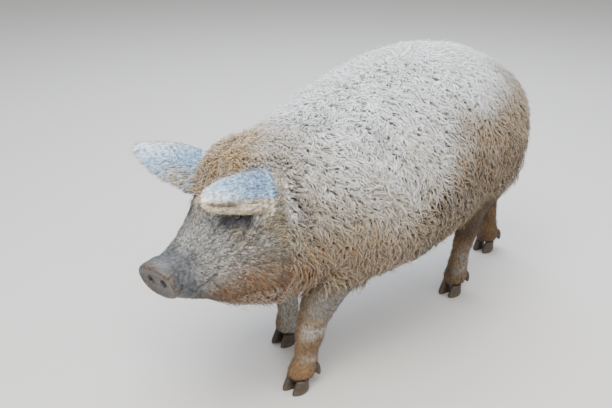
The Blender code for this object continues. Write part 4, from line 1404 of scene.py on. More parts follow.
@dataclass(frozen=True)
class HideFinish:
    """Pig's hide with short flat bristles, bare and a little damp on the disc, the lips and the lids."""

    name: str = "bristled_hide"
    bristle_mm: float = 3.6
    pebble_mm: float = 3.4
    dry_roughness: float = 0.78
    damp_roughness: float = 0.42

    def material(self) -> Material:
        """Speckles and bumps as wide as bristles, and pebbled leather where the hide is bare.

        Returns:
            The material.
        """
        tree = Tree(self.name)
        place = tree.add("TexCoord").outputs["Object"]
        coat = tree.add("Attribute", attribute_name="coat_colour")
        bare = tree.add("Attribute", attribute_name="bareness").outputs["Fac"]
        stretch = tree.add("Mapping", {"Vector": place, "Scale": (1.0, 0.32, 0.45)})
        bristles = tree.add("TexNoise", {"Vector": stretch,
                            "Scale": 1000 / self.bristle_mm, "Detail": 3.0, "Roughness": 0.6})
        pebbles = tree.add("TexVoronoi", {"Vector": place, "Scale": 1000 / self.pebble_mm,
                           "Smoothness": 0.6}, feature="SMOOTH_F1")
        speckle = tree.add("MapRange", {"Value": bristles, "From Min": 0.32,
                           "From Max": 0.62, "To Min": 0.38, "To Max": 1.34})
        tone = tree.add("VectorMath", {0: coat, 1: speckle}, operation="MULTIPLY")
        rough = tree.add("MapRange", {"Value": bare, "To Min": self.dry_roughness,
                         "To Max": self.damp_roughness})
        relief = tree.add("Mix", {0: bare, 2: bristles,
                          3: pebbles}, data_type="FLOAT")
        bump = tree.add("Bump", {"Height": relief, "Strength": 0.55, "Distance": 0.0012})
        return tree.shade(Base_Color=tone, Roughness=rough, Normal=bump, Specular_IOR_Level=0.35)


@dataclass(frozen=True)
class WoolFinish:
    """Greasy curled wool and bristle: soft at its edges, with strands as fine lines of dark and light."""

    name: str
    strand_mm: float
    sheen: float
    glow: float = 0.0
    roughness: float = 0.86

    def material(self) -> Material:
        """The lock's own colour, streaked by noise as fine as its strands and drawn out along them.

        Returns:
            The material.
        """
        tree = Tree(self.name)
        along = tree.add("UVMap", uv_map="strands")
        coat = tree.add("Attribute", attribute_name="coat_colour")
        drawn = tree.add("Mapping", {"Vector": along, "Scale": (1.0, 0.07, 1.0)})
        strands = tree.add("TexNoise", {"Vector": drawn, "Scale": 1000 / self.strand_mm,
                           "Detail": 2.0, "Roughness": 0.6})
        streak = tree.add("MapRange", {"Value": strands, "From Min": 0.3,
                          "From Max": 0.7, "To Min": 0.74, "To Max": 1.16})
        tone = tree.add("VectorMath", {0: coat, 1: streak}, operation="MULTIPLY")
        bump = tree.add("Bump", {"Height": strands, "Strength": 0.5, "Distance": 0.001})
        return tree.shade(Base_Color=tone, Roughness=self.roughness, Normal=bump, Sheen_Weight=self.sheen,
                          Sheen_Roughness=0.5, Specular_IOR_Level=0.25, Subsurface_Weight=self.glow,
                          Subsurface_Radius=(1.0, 0.9, 0.8), Subsurface_Scale=0.012)


@dataclass(frozen=True)
class HornFinish:
    """Grown black horn, worn dull on the sole's edge, with growth rings across and fine lines down it."""

    name: str = "black_claw_horn"
    dark: str = "#342A1F"
    worn: str = "#6E6252"
    ring_mm: float = 3.5
    roughness: float = 0.46

    def material(self) -> Material:
        """Wavy bands by height for the rings, and a paler tone by noise towards the floor.

        Returns:
            The material.
        """
        tree = Tree(self.name)
        place = tree.add("TexCoord").outputs["Object"]
        rings = tree.add("TexWave", {"Vector": place, "Scale": 1000 / self.ring_mm / TAU,
                         "Distortion": 2.5, "Detail": 2.0, "Detail Scale": 1.5}, bands_direction="Z")
        dust = tree.add("TexNoise", {"Vector": place, "Scale": 90.0, "Detail": 5.0})
        height = tree.add("SeparateXYZ", {0: place}).outputs["Z"]
        low = tree.add("MapRange", {"Value": height, "From Min": 0.016, "From Max": 0.0,
                       "To Min": 0.15, "To Max": 0.95})
        share = tree.add("Math", {0: low, 1: dust}, operation="MULTIPLY")
        tone = tree.add("Mix", {0: share, 6: (*linear(self.dark), 1.0),
                        7: (*linear(self.worn), 1.0)}, data_type="RGBA")
        bump = tree.add("Bump", {"Height": rings.outputs["Fac"], "Strength": 0.35, "Distance": 0.0006})
        return tree.shade(Base_Color=tone.outputs[2], Roughness=self.roughness, Normal=bump)


@dataclass(frozen=True)
class EyeFinish:
    """A living eye's wet cornea over a dark brown iris, with a bluish pupil and a brownish white."""

    name: str = "wet_dark_eye"
    pupil: str = "#0B0C10"
    iris: str = "#3A2415"
    iris_rim: str = "#1A110C"
    white: str = "#4E443E"

    def material(self) -> Material:
        """Rings by the eye's own attribute, the share of the way from the pupil's middle to its back.

        Returns:
            The material.
        """
        tree = Tree(self.name)
        ring = tree.add("Attribute", attribute_name="from_pupil").outputs["Fac"]
        ramp = tree.add("ValToRGB", {"Fac": ring})
        stops = ((0.0, self.pupil), (0.125, self.pupil), (0.15, self.iris), (0.235, self.iris),
                 (0.265, self.iris_rim), (0.3, self.white))
        row = ramp.color_ramp.elements
        for number, (place, code) in enumerate(stops):
            stop = row[number] if number < 2 else row.new(place)
            stop.position = place
            stop.color = (*linear(code), 1.0)
        return tree.shade(Base_Color=ramp, Roughness=0.06, Coat_Weight=0.6, Coat_Roughness=0.02)


@dataclass(frozen=True)
class FloorFinish:
    """A seamless studio floor of matt painted board."""

    name: str = "matt_studio_floor"
    tone: str = "#C6C4C0"

    def material(self) -> Material:
        """An even pale tone with a faint roller grain.

        Returns:
            The material.
        """
        tree = Tree(self.name)
        place = tree.add("TexCoord").outputs["Object"]
        grain = tree.add("TexNoise", {"Vector": place, "Scale": 60.0, "Detail": 3.0})
        bump = tree.add("Bump", {"Height": grain, "Strength": 0.05, "Distance": 0.001})
        return tree.shade(Base_Color=(*linear(self.tone), 1.0), Roughness=0.85, Normal=bump)


@dataclass
class Ground:
    """The skin as the coat's ground: where roots may stand, and how it faces there."""

    points: Array
    normals: Array
    corners: Array

    @classmethod
    def of(cls, skin: Object) -> "Ground":
        """Read a skin's triangles.

        Args:
            skin: the skin.

        Returns:
            Its points, normals and triangles.
        """
        mesh = skin.data
        mesh.calc_loop_triangles()
        return cls(points_of(mesh), normals_of(mesh), rows_of(mesh.loop_triangles, "vertices", 3, np.int64))

    def roots(self, spacing: float, tries: int, seed: int) -> tuple[Array, Array]:
        """Scatter even places over the whole skin.

        Args:
            spacing: the side of the cubes of space that may hold one root each.
            tries: how many places are drawn by area before that.
            seed: which scatter.

        Returns:
            The places and the skin's normals there.
        """
        rng = np.random.default_rng(seed)
        a, b, c = (self.points[self.corners[:, k]] for k in range(3))
        area = np.linalg.norm(np.cross(b - a, c - a), axis=1)
        pick = rng.choice(len(area), size=tries, p=area / area.sum())
        u, v = rng.random(tries), rng.random(tries)
        over = u + v > 1
        u[over], v[over] = 1 - u[over], 1 - v[over]
        share = np.column_stack([1 - u - v, u, v])
        places = (self.points[self.corners[pick]] * share[..., None]).sum(axis=1)
        normals = unit((self.normals[self.corners[pick]] * share[..., None]).sum(axis=1))
        most = 4096
        cell = np.floor(places / spacing).astype(np.int64) + most // 2
        _, first = np.unique(cell @ np.array([1, most, most**2]), return_index=True)
        first.sort()
        return places[first], normals[first]


def unwrapped(points: Array) -> Array:
    """Spread the skin's own shape flat, one chart to a part.

    Trunk and head unroll round their long axis, each leg, the tail and each ear round its own.

    Args:
        points: places on the skin.

    Returns:
        Their places in the unit square.
    """
    x, y, z = points.T
    middle = np.interp(y, (-0.75, -0.45, 0.0, 0.6), (0.44, 0.47, 0.51, 0.6))
    around = np.arctan2(x, z - middle) / TAU + 0.5
    flat = np.column_stack([0.01 + 0.98 * around, 0.42 + 0.57 * (y + 0.8) / 1.5])
    for number, (_, side, table, top) in enumerate(LIMBS):
        across, along, width, length = from_leg(points, side, table, top)
        on_leg = (z < top) & (np.hypot(across / width, along / length) < 1.6)
        turn = np.arctan2(across, along) / TAU + 0.5
        chart = np.column_stack([0.25 * number + 0.005 + 0.24 * turn, 0.01 + 0.24 * z / 0.36])
        flat[on_leg] = chart[on_leg]
    for number, ear in enumerate(EARS):
        t, w, up = ear.local(points)
        on_ear = ear.holds(points)
        turn = np.arctan2(up + 0.008, 0.03 * w) / TAU + 0.5
        chart = np.column_stack([0.3 * number + 0.005 + 0.28 * turn, 0.27 + 0.13 * np.clip(t, 0, 1.1) / 1.1])
        flat[on_ear] = chart[on_ear]
    on_tail = (y > 0.6) & (z < 0.63) & (np.abs(x) < 0.05) & (np.hypot(x, y - 0.69) < 0.06)
    turn = np.arctan2(x - 0.01, y - 0.69) / TAU + 0.5
    chart = np.column_stack([0.62 + 0.36 * turn, 0.27 + 0.13 * np.clip((z - 0.3) / 0.33, 0, 1)])
    flat[on_tail] = chart[on_tail]
    return flat


@dataclass
class Tufts:
    """Many solid curls or blades, as one row of arrays for each."""

    root: Array
    normal: Array
    lie: Array
    height: Array
    length: Array
    radius: Array
    curl: Array
    turns: Array
    phase: Array
    lean: Array
    droop: Array
    colour: Array
    taper: float = 0.8

    def some(self, chosen: Array) -> "Tufts":
        """Take a part of the tufts."""
        names = (name for name in self.__dataclass_fields__ if name != "taper")
        return Tufts(*(getattr(self, name)[chosen] for name in names), taper=self.taper)

    def paths(self, rings: int) -> Array:
        """Work out the middle line of each tuft.

        Args:
            rings: points on a line.

        Returns:
            An array of tufts by points by three. With s from 0 to 1 a tuft rises by 1 - (1 - s)²
            and droops by s³, runs along its lie by s to the 1.2, leans by s², and coils round
            that line by its curl, which grows from the root.
        """
        s = np.linspace(0, 1, rings)[None, :, None]
        beside = np.cross(self.normal, self.lie)[:, None]
        normal, lie = self.normal[:, None], self.lie[:, None]
        height, length, curl, turns, phase, droop = (
            value[:, None, None] for value in
            (self.height, self.length, self.curl, self.turns, self.phase, self.droop)
        )
        angle = phase + TAU * turns * s
        grow = curl * (0.15 + 0.85 * s)
        rise = height * (1 - (1 - s) ** 2) - droop * s**3 - 0.0015 * (1 - s)
        path = self.root[:, None] + normal * (rise + 0.4 * grow * np.sin(angle))
        path = path + lie * (length * s**1.2 + 0.85 * grow * np.sin(angle + 0.35))
        return path + beside * (grow * np.cos(angle)) + self.lean[:, None] * s**2

    def strands(self, path: Array, ring: Array, edge: Array, s: Array) -> Array:
        """Unroll each tuft in metres, for a pattern that follows its hair.

        Args:
            path: the tufts' middle lines.
            ring: the first ring of each four-sided face of a tuft.
            edge: the first edge line of each such face.
            s: the share of the way along at each ring.

        Returns:
            For every corner, four-sided faces first, how far round its tuft and how far along it is.
            Each tuft starts at a place of its own in the pattern.
        """
        girth = (TAU * self.radius)[:, None]
        length = np.linalg.norm(np.diff(path, axis=1), axis=2).sum(axis=1)[:, None]
        start = np.stack([self.phase, self.phase[::-1]], axis=1)[:, None]
        quads = np.column_stack([edge, edge + 1, edge + 1, edge]).ravel() / 3
        rise = np.column_stack([s[ring], s[ring], s[ring + 1], s[ring + 1]]).ravel()
        tips = np.array([0, 1, 0.5, 1, 2, 1.5, 2, 3, 2.5, 2, 1, 0]) / 3
        tops = np.array([1, 1, 1.1, 1, 1, 1.1, 1, 1, 1.1, 0, 0, 0])
        parts = [np.stack([girth * u, length * v], axis=-1) + start for u, v in ((quads, rise), (tips, tops))]
        return np.concatenate([part.reshape(-1, 2) for part in parts])

    def pieces(self, name: str, rings: int, flat: float, material: Material, slot: Slot) -> None:
        """Make the tufts as joined meshes of three-sided closed spindles.

        Args:
            name: the pieces' name, to which a number is added.
            rings: rings of three points on each tuft, before its tip.
            flat: thickness over width.
            material: the tufts' finish.
            slot: the record's slot for it.

        A spindle's radius is full until its middle, then falls by the taper towards its tip.
        """
        each = 6 * (rings - 1) + 4
        count = math.ceil(len(self.root) * each / MOST_TRIANGLES)
        order = np.argsort(self.root[:, 1], kind="stable")
        for number, chosen in enumerate(np.array_split(order, count), start=1):
            part = self.some(chosen)
            path = part.paths(rings)
            ahead = unit(np.gradient(path, axis=1))
            beside = np.cross(part.normal, part.lie)[:, None]
            first = unit(flattened(beside, ahead) + 1e-6)
            second = np.cross(ahead, first)
            s = np.linspace(0, 1, rings)
            profile = (0.8 + 0.2 * ease(s, 0, 0.3)) * (1 - self.taper * ease(s, 0.45, 1.15))
            width = part.radius[:, None] * profile
            angle = (TAU * np.arange(3) / 3 + 0.5)[:, None]
            ring = first[:, :, None] * np.cos(angle) + flat * second[:, :, None] * np.sin(angle)
            rows = path[:, :, None] + ring * width[..., None, None]
            tip = path[:, -1] + (0.15 + 0.5 * self.taper) * (path[:, -1] - path[:, -2])
            size = rings * 3 + 1
            points = np.concatenate([rows.reshape(len(chosen), -1, 3), tip[:, None]], axis=1)
            i, j = np.meshgrid(3 * np.arange(rings - 1), np.arange(3), indexing="ij")
            i, j = i.ravel(), j.ravel()
            k = (j + 1) % 3
            quad = np.column_stack([i + j, i + k, i + 3 + k, i + 3 + j])
            last = 3 * (rings - 1)
            end = np.array([[last, last + 1, last + 3], [last + 1, last + 2, last + 3],
                            [last + 2, last, last + 3], [2, 1, 0]])
            starts = (np.arange(len(chosen)) * size)[:, None, None]
            quads, tris = (quad + starts).reshape(-1, 4), (end + starts).reshape(-1, 3)
            piece = Shell(points.reshape(-1, 3), quads, tris).piece(f"{name}_{number:02d}", outward=False)
            share = np.append(np.repeat(s, 3), 1.0)
            # Painted shade: each tuft is darker towards its root, where the coat shades it.
            shade = 0.88 + 0.14 * ease(share, 0.0, 0.7)
            paint(piece.data, "coat_colour", (part.colour[:, None] * shade[None, :, None]).reshape(-1, 3))
            offset = np.column_stack([np.append(np.tile(np.arange(3) / 3, rings), 0.5) - 0.5, share - 0.5])
            flat_map = (unwrapped(part.root)[:, None] + 0.003 * offset[None]).reshape(-1, 2)
            corners = rows_of(piece.data.loops, "vertex_index", 1, np.int32).ravel()
            maps = {"OFBake": flat_map[corners], "strands": part.strands(path, i // 3, j, s)}
            for map_name, places in maps.items():
                layer = piece.data.uv_layers.new(name=map_name)
                layer.uv.foreach_set("vector", places.astype(np.float32).ravel())
            dress(piece, material, slot)
            LOG.info("%s: %d tufts", piece.name, len(chosen))


def nearest_offset(points: Array, centres: Array) -> tuple[Array, Array]:
    """Find each place's nearest centre.

    Args:
        points: the places.
        centres: the centres.

    Returns:
        The number of the nearest centre, and the way to it.
    """
    index = np.empty(len(points), dtype=np.int64)
    batch = 2000
    for start in range(0, len(points), batch):
        part = points[start:start + batch]
        index[start:start + batch] = (
            (part**2).sum(1)[:, None] - 2 * part @ centres.T + (centres**2).sum(1)[None]
        ).argmin(axis=1)
    return index, centres[index] - points


@dataclass
class Coat:
    """Everything that grows: under-wool, curled locks, stray hairs, face wool, and short bristles."""

    ground: Ground
    outline: BVHTree
    markings: Markings
    under_spacing: tuple = (0.0145, 0.013)
    lock_spacing: tuple = (0.0094, 0.0068)
    clump_spacing: float = 0.04
    stray_spacing: float = 0.03
    fuzz_spacing: float = 0.0044
    bristle_spacing: float = 0.0055
    shortest_wool: float = 0.0085
    ray_reach: float = 0.055
    lashes_each: int = 22

    def depth(self, roots: Array, normals: Array) -> Array:
        """How far the fleece's outline stands over each root, by a ray along the normal.

        Args:
            roots: places on the skin.
            normals: the skin's normals there.

        Returns:
            The depth over each, nought where the ray hits nothing.
        """
        hits = [self.outline.ray_cast(Vector(root), Vector(normal), self.ray_reach)[3]
                for root, normal in zip(roots - 0.001 * normals, normals)]
        return np.minimum([0.0 if hit is None else hit for hit in hits], 1.15 * FLEECE_DEPTH)

    @staticmethod
    def beside_ears(points: Array) -> Array:
        """How free of the ears' leaves each place is, from 0 to 1.

        Args:
            points: places on the skin.

        Returns:
            A number from 0 to 1 for each place.
        """
        free = np.ones(len(points))
        for ear in EARS:
            t, w, up = ear.local(points)
            reach = np.maximum(np.abs(w) - 1, 0) * ear.half
            gap = np.hypot(np.hypot(reach, up - ear.lifted(t, w)), np.maximum(-t, 0) * ear.length)
            free = np.minimum(free, np.where((t > -0.3) & (t < 1.1), ease(gap, 0.004, 0.035), 1.0))
        return free

    @staticmethod
    def hang(normals: Array, back: float) -> Array:
        """The lie of hair that hangs: down and back, along the skin."""
        lie = np.column_stack([normals[:, 0], np.full(len(normals), back), np.full(len(normals), -1.0)])
        return unit(flattened(lie, normals))

    @staticmethod
    def poll(points: Array) -> Array:
        """The tight curls between and behind the ears, from 0 to 1.

        Args:
            points: places on the skin.

        Returns:
            A number from 0 to 1 for each place.
        """
        side, height, forward = to_head(points).T
        raised = ease(height + 0.9 * np.maximum(forward - 0.05, 0), 0.585, 0.62)
        poll = ease(forward, 0.15, 0.11) * ease(points[:, 1], -0.26, -0.36)
        return poll * raised * ease(np.abs(side), 0.125, 0.09)

    def wool(self, roots: Array, normals: Array) -> Array:
        """How tall the wool is over each root.

        Args:
            roots: places on the skin.
            normals: the skin's normals there.

        Returns:
            The fleece's depth on the body. On the head it falls from the poll, the cheeks and the jowl
            towards the muzzle, and on the ears, the lower legs and the disc it is nought.
        """
        height, forward = to_head(roots)[:, 1:].T
        cheek = 0.015 * ease(forward, 0.105, 0.01)
        jowl = 0.013 * ease(height, 0.405, 0.345) * ease(forward, 0.24, 0.14)
        high = roots[:, 2] > HEAD_LOWEST
        grown = np.where((forward > -0.03) & high, np.maximum(cheek, jowl), 0.0)
        grown = np.maximum(grown, 0.024 * self.poll(roots) * (1 - 0.35 * ease(forward, 0.06, 0.13)))
        bare = on_ears(roots) | ((forward > 0.24) & high)
        return np.where(bare, 0.0, np.maximum(self.depth(roots, normals), grown))

    def scattered(self, spacings: tuple, seed: int) -> tuple[Array, ...]:
        """Roots of the wool, closer together in the tight curls of the poll.

        Args:
            spacings: the distance between roots on the body, and on the poll.
            seed: which scatter.

        Returns:
            Roots, normals, heights of the wool, and how tight its curls are.
        """
        found = []
        for step, on_poll in zip(spacings, (False, True)):
            root, normal = self.ground.roots(step, TRIES, seed + on_poll)
            here = (self.poll(root) > 0.3) == on_poll
            root, normal = root[here], normal[here]
            tall = self.wool(root, normal)
            here = tall > self.shortest_wool
            found.append((root[here], normal[here], tall[here], np.full(here.sum(), float(on_poll))))
        return tuple(np.concatenate(rows) for rows in zip(*found))

    def dyed(self, root: Array, rng: np.random.Generator, spread: float, dark: float) -> Array:
        """The markings' colour at each root, with a spread of light and a share of dark hairs in specks.

        Args:
            root: the hairs' roots.
            rng: the source of chance.
            spread: how much light and dark differ.
            dark: the share of dark hairs.

        Returns:
            Linear colours.
        """
        number = len(root)
        colour = self.markings.colour(root) * np.exp(rng.normal(0, spread, number))[:, None]
        slate = linear(self.markings.dark_hair) * rng.uniform(0.7, 1.7, number)[:, None]
        share = dark * (1 + 2.6 * mottle(root, 0.008, 28)) if dark > 0.1 else dark
        chosen = (rng.random(number) < share)[:, None]
        return np.clip(np.where(chosen, 0.2 * colour + 0.8 * slate, colour), 0, BRIGHTEST)

    def tinted(self, root: Array, rng: np.random.Generator) -> Array:
        """The fleece's colour at each root, with tan and grey locks among the pale ones.

        Args:
            root: the locks' roots.
            rng: the source of chance.

        Returns:
            Linear colours. Tan comes in patches as wide as a hand, and a few locks are grey with dirt.
        """
        number = len(root)
        colour = self.dyed(root, rng, 0.05, 0.01)
        low = ease(root[:, 2] + 0.04 * mottle(root, 0.16, 21), 0.72, 0.54)
        tan = linear(self.markings.tan_lock) * (0.35 + 1.2 * colour.mean(axis=1, keepdims=True))
        patch = 0.03 + 0.12 * low + 0.1 * low * mottle(root, 0.09, 24) + 0.06 * mottle(root, 0.03, 25)
        mix = np.clip(patch + rng.normal(0, 0.04 + 0.12 * low, number), 0, 0.65)[:, None]
        grey = (rng.random(number) < (0.02 + 0.06 * low) * (1 + mottle(root, 0.07, 26)))[:, None]
        return np.clip((colour * (1 - mix) + mix * tan) * np.where(grey, 0.62, 1.0), 0, BRIGHTEST)

    def under(self) -> Tufts:
        """Broad flat wool that lies close and hides the skin between the locks.

        Returns:
            The tufts.
        """
        rng = np.random.default_rng(71)
        root, normal, tall, tight = self.scattered(self.under_spacing, 70)
        number = len(root)
        size = np.clip(tall / FLEECE_DEPTH, 0.3, 1.0)
        lie = ruffled(self.hang(normal, 0.15), normal, rng, 0.5)
        free = 0.4 + 0.6 * self.beside_ears(root)
        return Tufts(
            root + normal * (0.22 * tall * free)[:, None], normal, lie,
            height=tall * rng.uniform(0.36, 0.5, number) * free,
            length=rng.uniform(0.014, 0.026, number) * (0.5 + 0.5 * size) * free,
            radius=rng.uniform(0.0068, 0.0088, number) * (0.4 + 0.6 * size) * (1 - 0.25 * tight),
            curl=rng.uniform(0.002, 0.004, number) * size,
            turns=rng.uniform(0.5, 0.9, number),
            phase=rng.uniform(0, TAU, number),
            lean=np.zeros((number, 3)),
            droop=tall * 0.12,
            # Painted shade: the under-wool is laid a little darker than the locks over it.
            colour=self.tinted(root, rng) * 0.94,
            taper=0.62,
        )

    def locks(self) -> Tufts:
        """Curled locks that lean together in small clumps, out to the coat's tips.

        Returns:
            The tufts.
        """
        rng = np.random.default_rng(31)
        root, normal, tall, tight = self.scattered(self.lock_spacing, 30)
        centres, _ = self.ground.roots(self.clump_spacing, FEW_TRIES, 32)
        index, way = nearest_offset(root, centres)
        way = flattened(way, normal)
        own = np.random.default_rng(33).uniform(-1, 1, (len(centres), 5))[index]
        number = len(root)
        lie = self.hang(normal, 0.15)
        beside = np.cross(normal, lie)
        swirl = 0.35 * own[:, 0] + 0.7 * mottle(root, 0.1, 34) + rng.normal(0, 0.38 + 0.6 * tight, number)
        lie = lie * np.cos(swirl)[:, None] + beside * np.sin(swirl)[:, None]
        size = np.clip(tall / FLEECE_DEPTH, 0.25, 1.1)
        free = 0.35 + 0.65 * self.beside_ears(root)
        crease = bell(to_head(root)[:, 2], -0.02, 0.014) * ease(root[:, 2], 0.64, 0.6)
        free = free * (1 - 0.45 * crease * ease(root[:, 2], 0.4, 0.46))
        reach = tall * (0.9 + 0.08 * own[:, 1] + rng.uniform(-0.2, 0.08, number)) * free
        belly = ease(normal[:, 2], -0.2, -0.8)
        drawn = (0.45 + 0.6 * size) * free * (1 + 0.2 * ease(root[:, 2], 0.5, 0.38) - 0.5 * tight)
        curled = (0.35 + 0.65 * size) * (0.5 + 0.5 * free) * (1 + 0.2 * tight)
        return Tufts(
            root + normal * (0.46 * reach)[:, None], normal, lie,
            height=0.54 * reach * (1 - 0.15 * belly),
            length=rng.uniform(0.018, 0.04, number) * drawn,
            radius=rng.uniform(0.0013, 0.0024, number) * (0.55 + 0.45 * size) * (1 - 0.1 * tight),
            curl=rng.uniform(0.0026, 0.0058, number) * curled,
            turns=rng.uniform(0.75, 1.2, number),
            phase=TAU * (0.5 * own[:, 4] + rng.normal(0, 0.25, number)),
            lean=way * (0.25 + 0.12 * own[:, 1:2]),
            droop=reach * rng.uniform(0.1, 0.4, number),
            colour=np.clip(self.tinted(root, rng) * (1 + 0.06 * own[:, 2])[:, None], 0, BRIGHTEST),
            taper=0.78,
        )

    def stray(self) -> Tufts:
        """Fine single hairs that spring out of the fleece and blur its outline.

        Returns:
            The tufts.
        """
        rng = np.random.default_rng(41)
        root, normal = self.ground.roots(self.stray_spacing, FEW_TRIES, 40)
        tall = self.wool(root, normal)
        grows = (tall > 0.012) & (self.beside_ears(root) > 0.6)
        root, normal, tall = (np.repeat(rows[grows], 2, axis=0) for rows in (root, normal, tall))
        number = len(root)
        root = root + rng.normal(0, 0.004, (number, 3))
        lie = ruffled(self.hang(normal, 0.35), normal, rng, 0.55)
        return Tufts(
            root + normal * 0.55 * tall[:, None], normal, lie,
            height=tall * 0.35 + rng.uniform(0.001, 0.006, number),
            length=rng.uniform(0.008, 0.024, number),
            radius=rng.uniform(0.00035, 0.00055, number),
            curl=rng.uniform(0.002, 0.005, number),
            turns=rng.uniform(0.6, 1.2, number),
            phase=rng.uniform(0, TAU, number),
            lean=np.zeros((number, 3)),
            droop=rng.uniform(0.0, 0.008, number),
            colour=self.dyed(root, rng, 0.1, 0.0),
        )

    def swept(self, root: Array, normal: Array) -> Array:
        """The lie of the head's hair: back from the muzzle, down the cheeks, and spread on the ears.

        Args:
            root: the hairs' roots.
            normal: the skin's normals there.

        Returns:
            Unit ways along the skin.
        """
        height, forward = to_head(root)[:, 1:].T
        turn = head_turn()
        face = ease(forward, 0.0, 0.03)[:, None]
        sweep = -turn[:, 2] + turn[:, 1] * (0.25 - 1.1 * ease(height, 0.52, 0.38))[:, None]
        lie = self.hang(normal, 0.3) * (1 - face) + face * sweep
        for ear in EARS:
            w = ear.local(root)[1]
            ahead, across, _ = ear.axes().T
            lie = np.where(ear.holds(root)[:, None], ahead + across * (0.9 * w)[:, None], lie)
        return unit(flattened(lie, normal))

    def fuzz(self) -> Tufts:
        """The face's coarse wavy hair, longest on cheek and brow, and the hair at the ears' roots.

        Returns:
            The tufts.
        """
        rng = np.random.default_rng(81)
        root, normal = self.ground.roots(self.fuzz_spacing, MANY_TRIES, 80)
        forward = to_head(root)[:, 2]
        on_ear = on_ears(root)
        near = ((forward > -0.01) & (forward < 0.265) & (root[:, 2] > HEAD_LOWEST)) | on_ear
        root, normal, on_ear, forward = (rows[near] for rows in (root, normal, on_ear, forward))
        along = np.min([np.where(ear.holds(root), ear.local(root)[0], 9.0) for ear in EARS], axis=0)
        grows = (self.wool(root, normal) < 0.0105) & (~on_ear | (along < rng.uniform(0.25, 0.75, len(root))))
        grows &= Markings.bareness(root) < rng.uniform(0.05, 0.5, len(root))
        for one in Side:
            grows &= np.linalg.norm(root - eye_frame(one)[0], axis=1) > 0.026
        root, normal, on_ear, forward = (rows[grows] for rows in (root, normal, on_ear, forward))
        number = len(root)
        calm = np.where(on_ear, 0.4, 1.0)
        lie = ruffled(self.swept(root, normal), normal, rng, 0.3 * calm[:, None])
        long = 0.55 + 0.45 * ease(forward, 0.24, 0.08)
        return Tufts(
            root, normal, lie,
            height=rng.uniform(0.0035, 0.007, number) * long * calm,
            length=rng.uniform(0.008, 0.014, number) * long,
            radius=rng.uniform(0.0007, 0.0012, number),
            curl=rng.uniform(0.0008, 0.0022, number) * long * calm,
            turns=rng.uniform(0.5, 0.9, number),
            phase=rng.uniform(0, TAU, number),
            lean=np.zeros((number, 3)),
            droop=np.full(number, 0.0015),
            colour=self.dyed(root, rng, 0.36, 0.36),
        )

    def short(self) -> Tufts:
        """Short flat bristles: smallest on muzzle and feet, longer on the ears' edges and the legs' backs.

        Returns:
            The tufts.
        """
        rng = np.random.default_rng(51)
        root, normal = self.ground.roots(self.bristle_spacing, TRIES, 50)
        tall, bare = self.wool(root, normal), Markings.bareness(root)
        forward = to_head(root)[:, 2]
        on_ear = on_ears(root)
        grows = (tall < 0.01) & (bare < rng.uniform(0.15, 0.75, len(root))) & (root[:, 2] > 0.036)
        grows &= on_ear | (forward < 0.0) | (forward > 0.22) | (root[:, 2] < HEAD_LOWEST)
        grows &= ~on_ear | (rng.random(len(root)) < 0.7)
        root, normal, on_ear, forward = (rows[grows] for rows in (root, normal, on_ear, forward))
        number = len(root)
        lie = self.swept(root, normal)
        muzzle = ease(forward, 0.16, 0.27) * ~on_ear
        length = rng.uniform(0.009, 0.0125, number) * (1 - 0.45 * muzzle)
        rise = rng.uniform(0.0018, 0.0042, number) * (1 - 0.5 * muzzle)
        back = ease(root[:, 2], 0.34, 0.28) * ease(normal[:, 1], 0.2, 0.9)
        length = length * (1 - 0.35 * ease(root[:, 2], 0.1, 0.05)) * (1 + 0.35 * back)
        rise = np.where(on_ear, 0.0012, rise) * (1 + 0.9 * back)
        lie = ruffled(lie, normal, rng, 0.18)
        return Tufts(
            root, normal, lie,
            height=rise,
            length=np.where(on_ear, 0.8, 1.0) * length,
            radius=rng.uniform(0.0008, 0.0012, number),
            curl=0.0006 * rng.random(number),
            turns=rng.uniform(0.3, 0.8, number),
            phase=rng.uniform(0, TAU, number),
            lean=np.zeros((number, 3)),
            droop=rise * 0.5,
            colour=self.dyed(root, rng, 0.3, 0.2),
        )

    def lashes(self) -> Tufts:
        """Pale lashes along the upper lids.

        Returns:
            The tufts.
        """
        rng = np.random.default_rng(61)
        each = self.lashes_each
        roots, normals, lies, lengths = [], [], [], []
        for side in Side:
            middle, turn = eye_frame(side)
            along = np.linspace(-0.85, 0.85, each) + rng.normal(0, 0.015, each)
            over = LID_OPENING[1] * 1.15 * (1 - along**2) + 0.0022
            place = np.column_stack([along * LID_OPENING[0] * 1.1, over, np.zeros(each)])
            out = (EYE_RADIUS + 0.0024) ** 2 - (place[:, :2] ** 2).sum(axis=1)
            place[:, 2] = np.sqrt(np.maximum(out, 1e-6))
            fan = np.column_stack([0.5 * along, np.full(each, -0.25), np.ones(each)])
            roots.append(middle + place @ turn.T)
            normals.append(np.tile(turn[:, 1], (each, 1)))
            lies.append(unit(fan + rng.normal(0, 0.1, (each, 3))) @ turn.T)
            lengths.append(rng.uniform(0.006, 0.011, each))
        root, normal, lie, length = (np.concatenate(rows) for rows in (roots, normals, lies, lengths))
        number = len(root)
        return Tufts(
            root, normal, lie,
            height=np.full(number, 0.0025),
            length=length,
            radius=np.full(number, 0.00028),
            curl=np.full(number, 0.0004),
            turns=np.full(number, 0.3),
            phase=rng.uniform(0, TAU, number),
            lean=np.zeros((number, 3)),
            droop=np.full(number, 0.004),
            colour=np.tile(linear(self.markings.pale_lash), (number, 1)),
        )

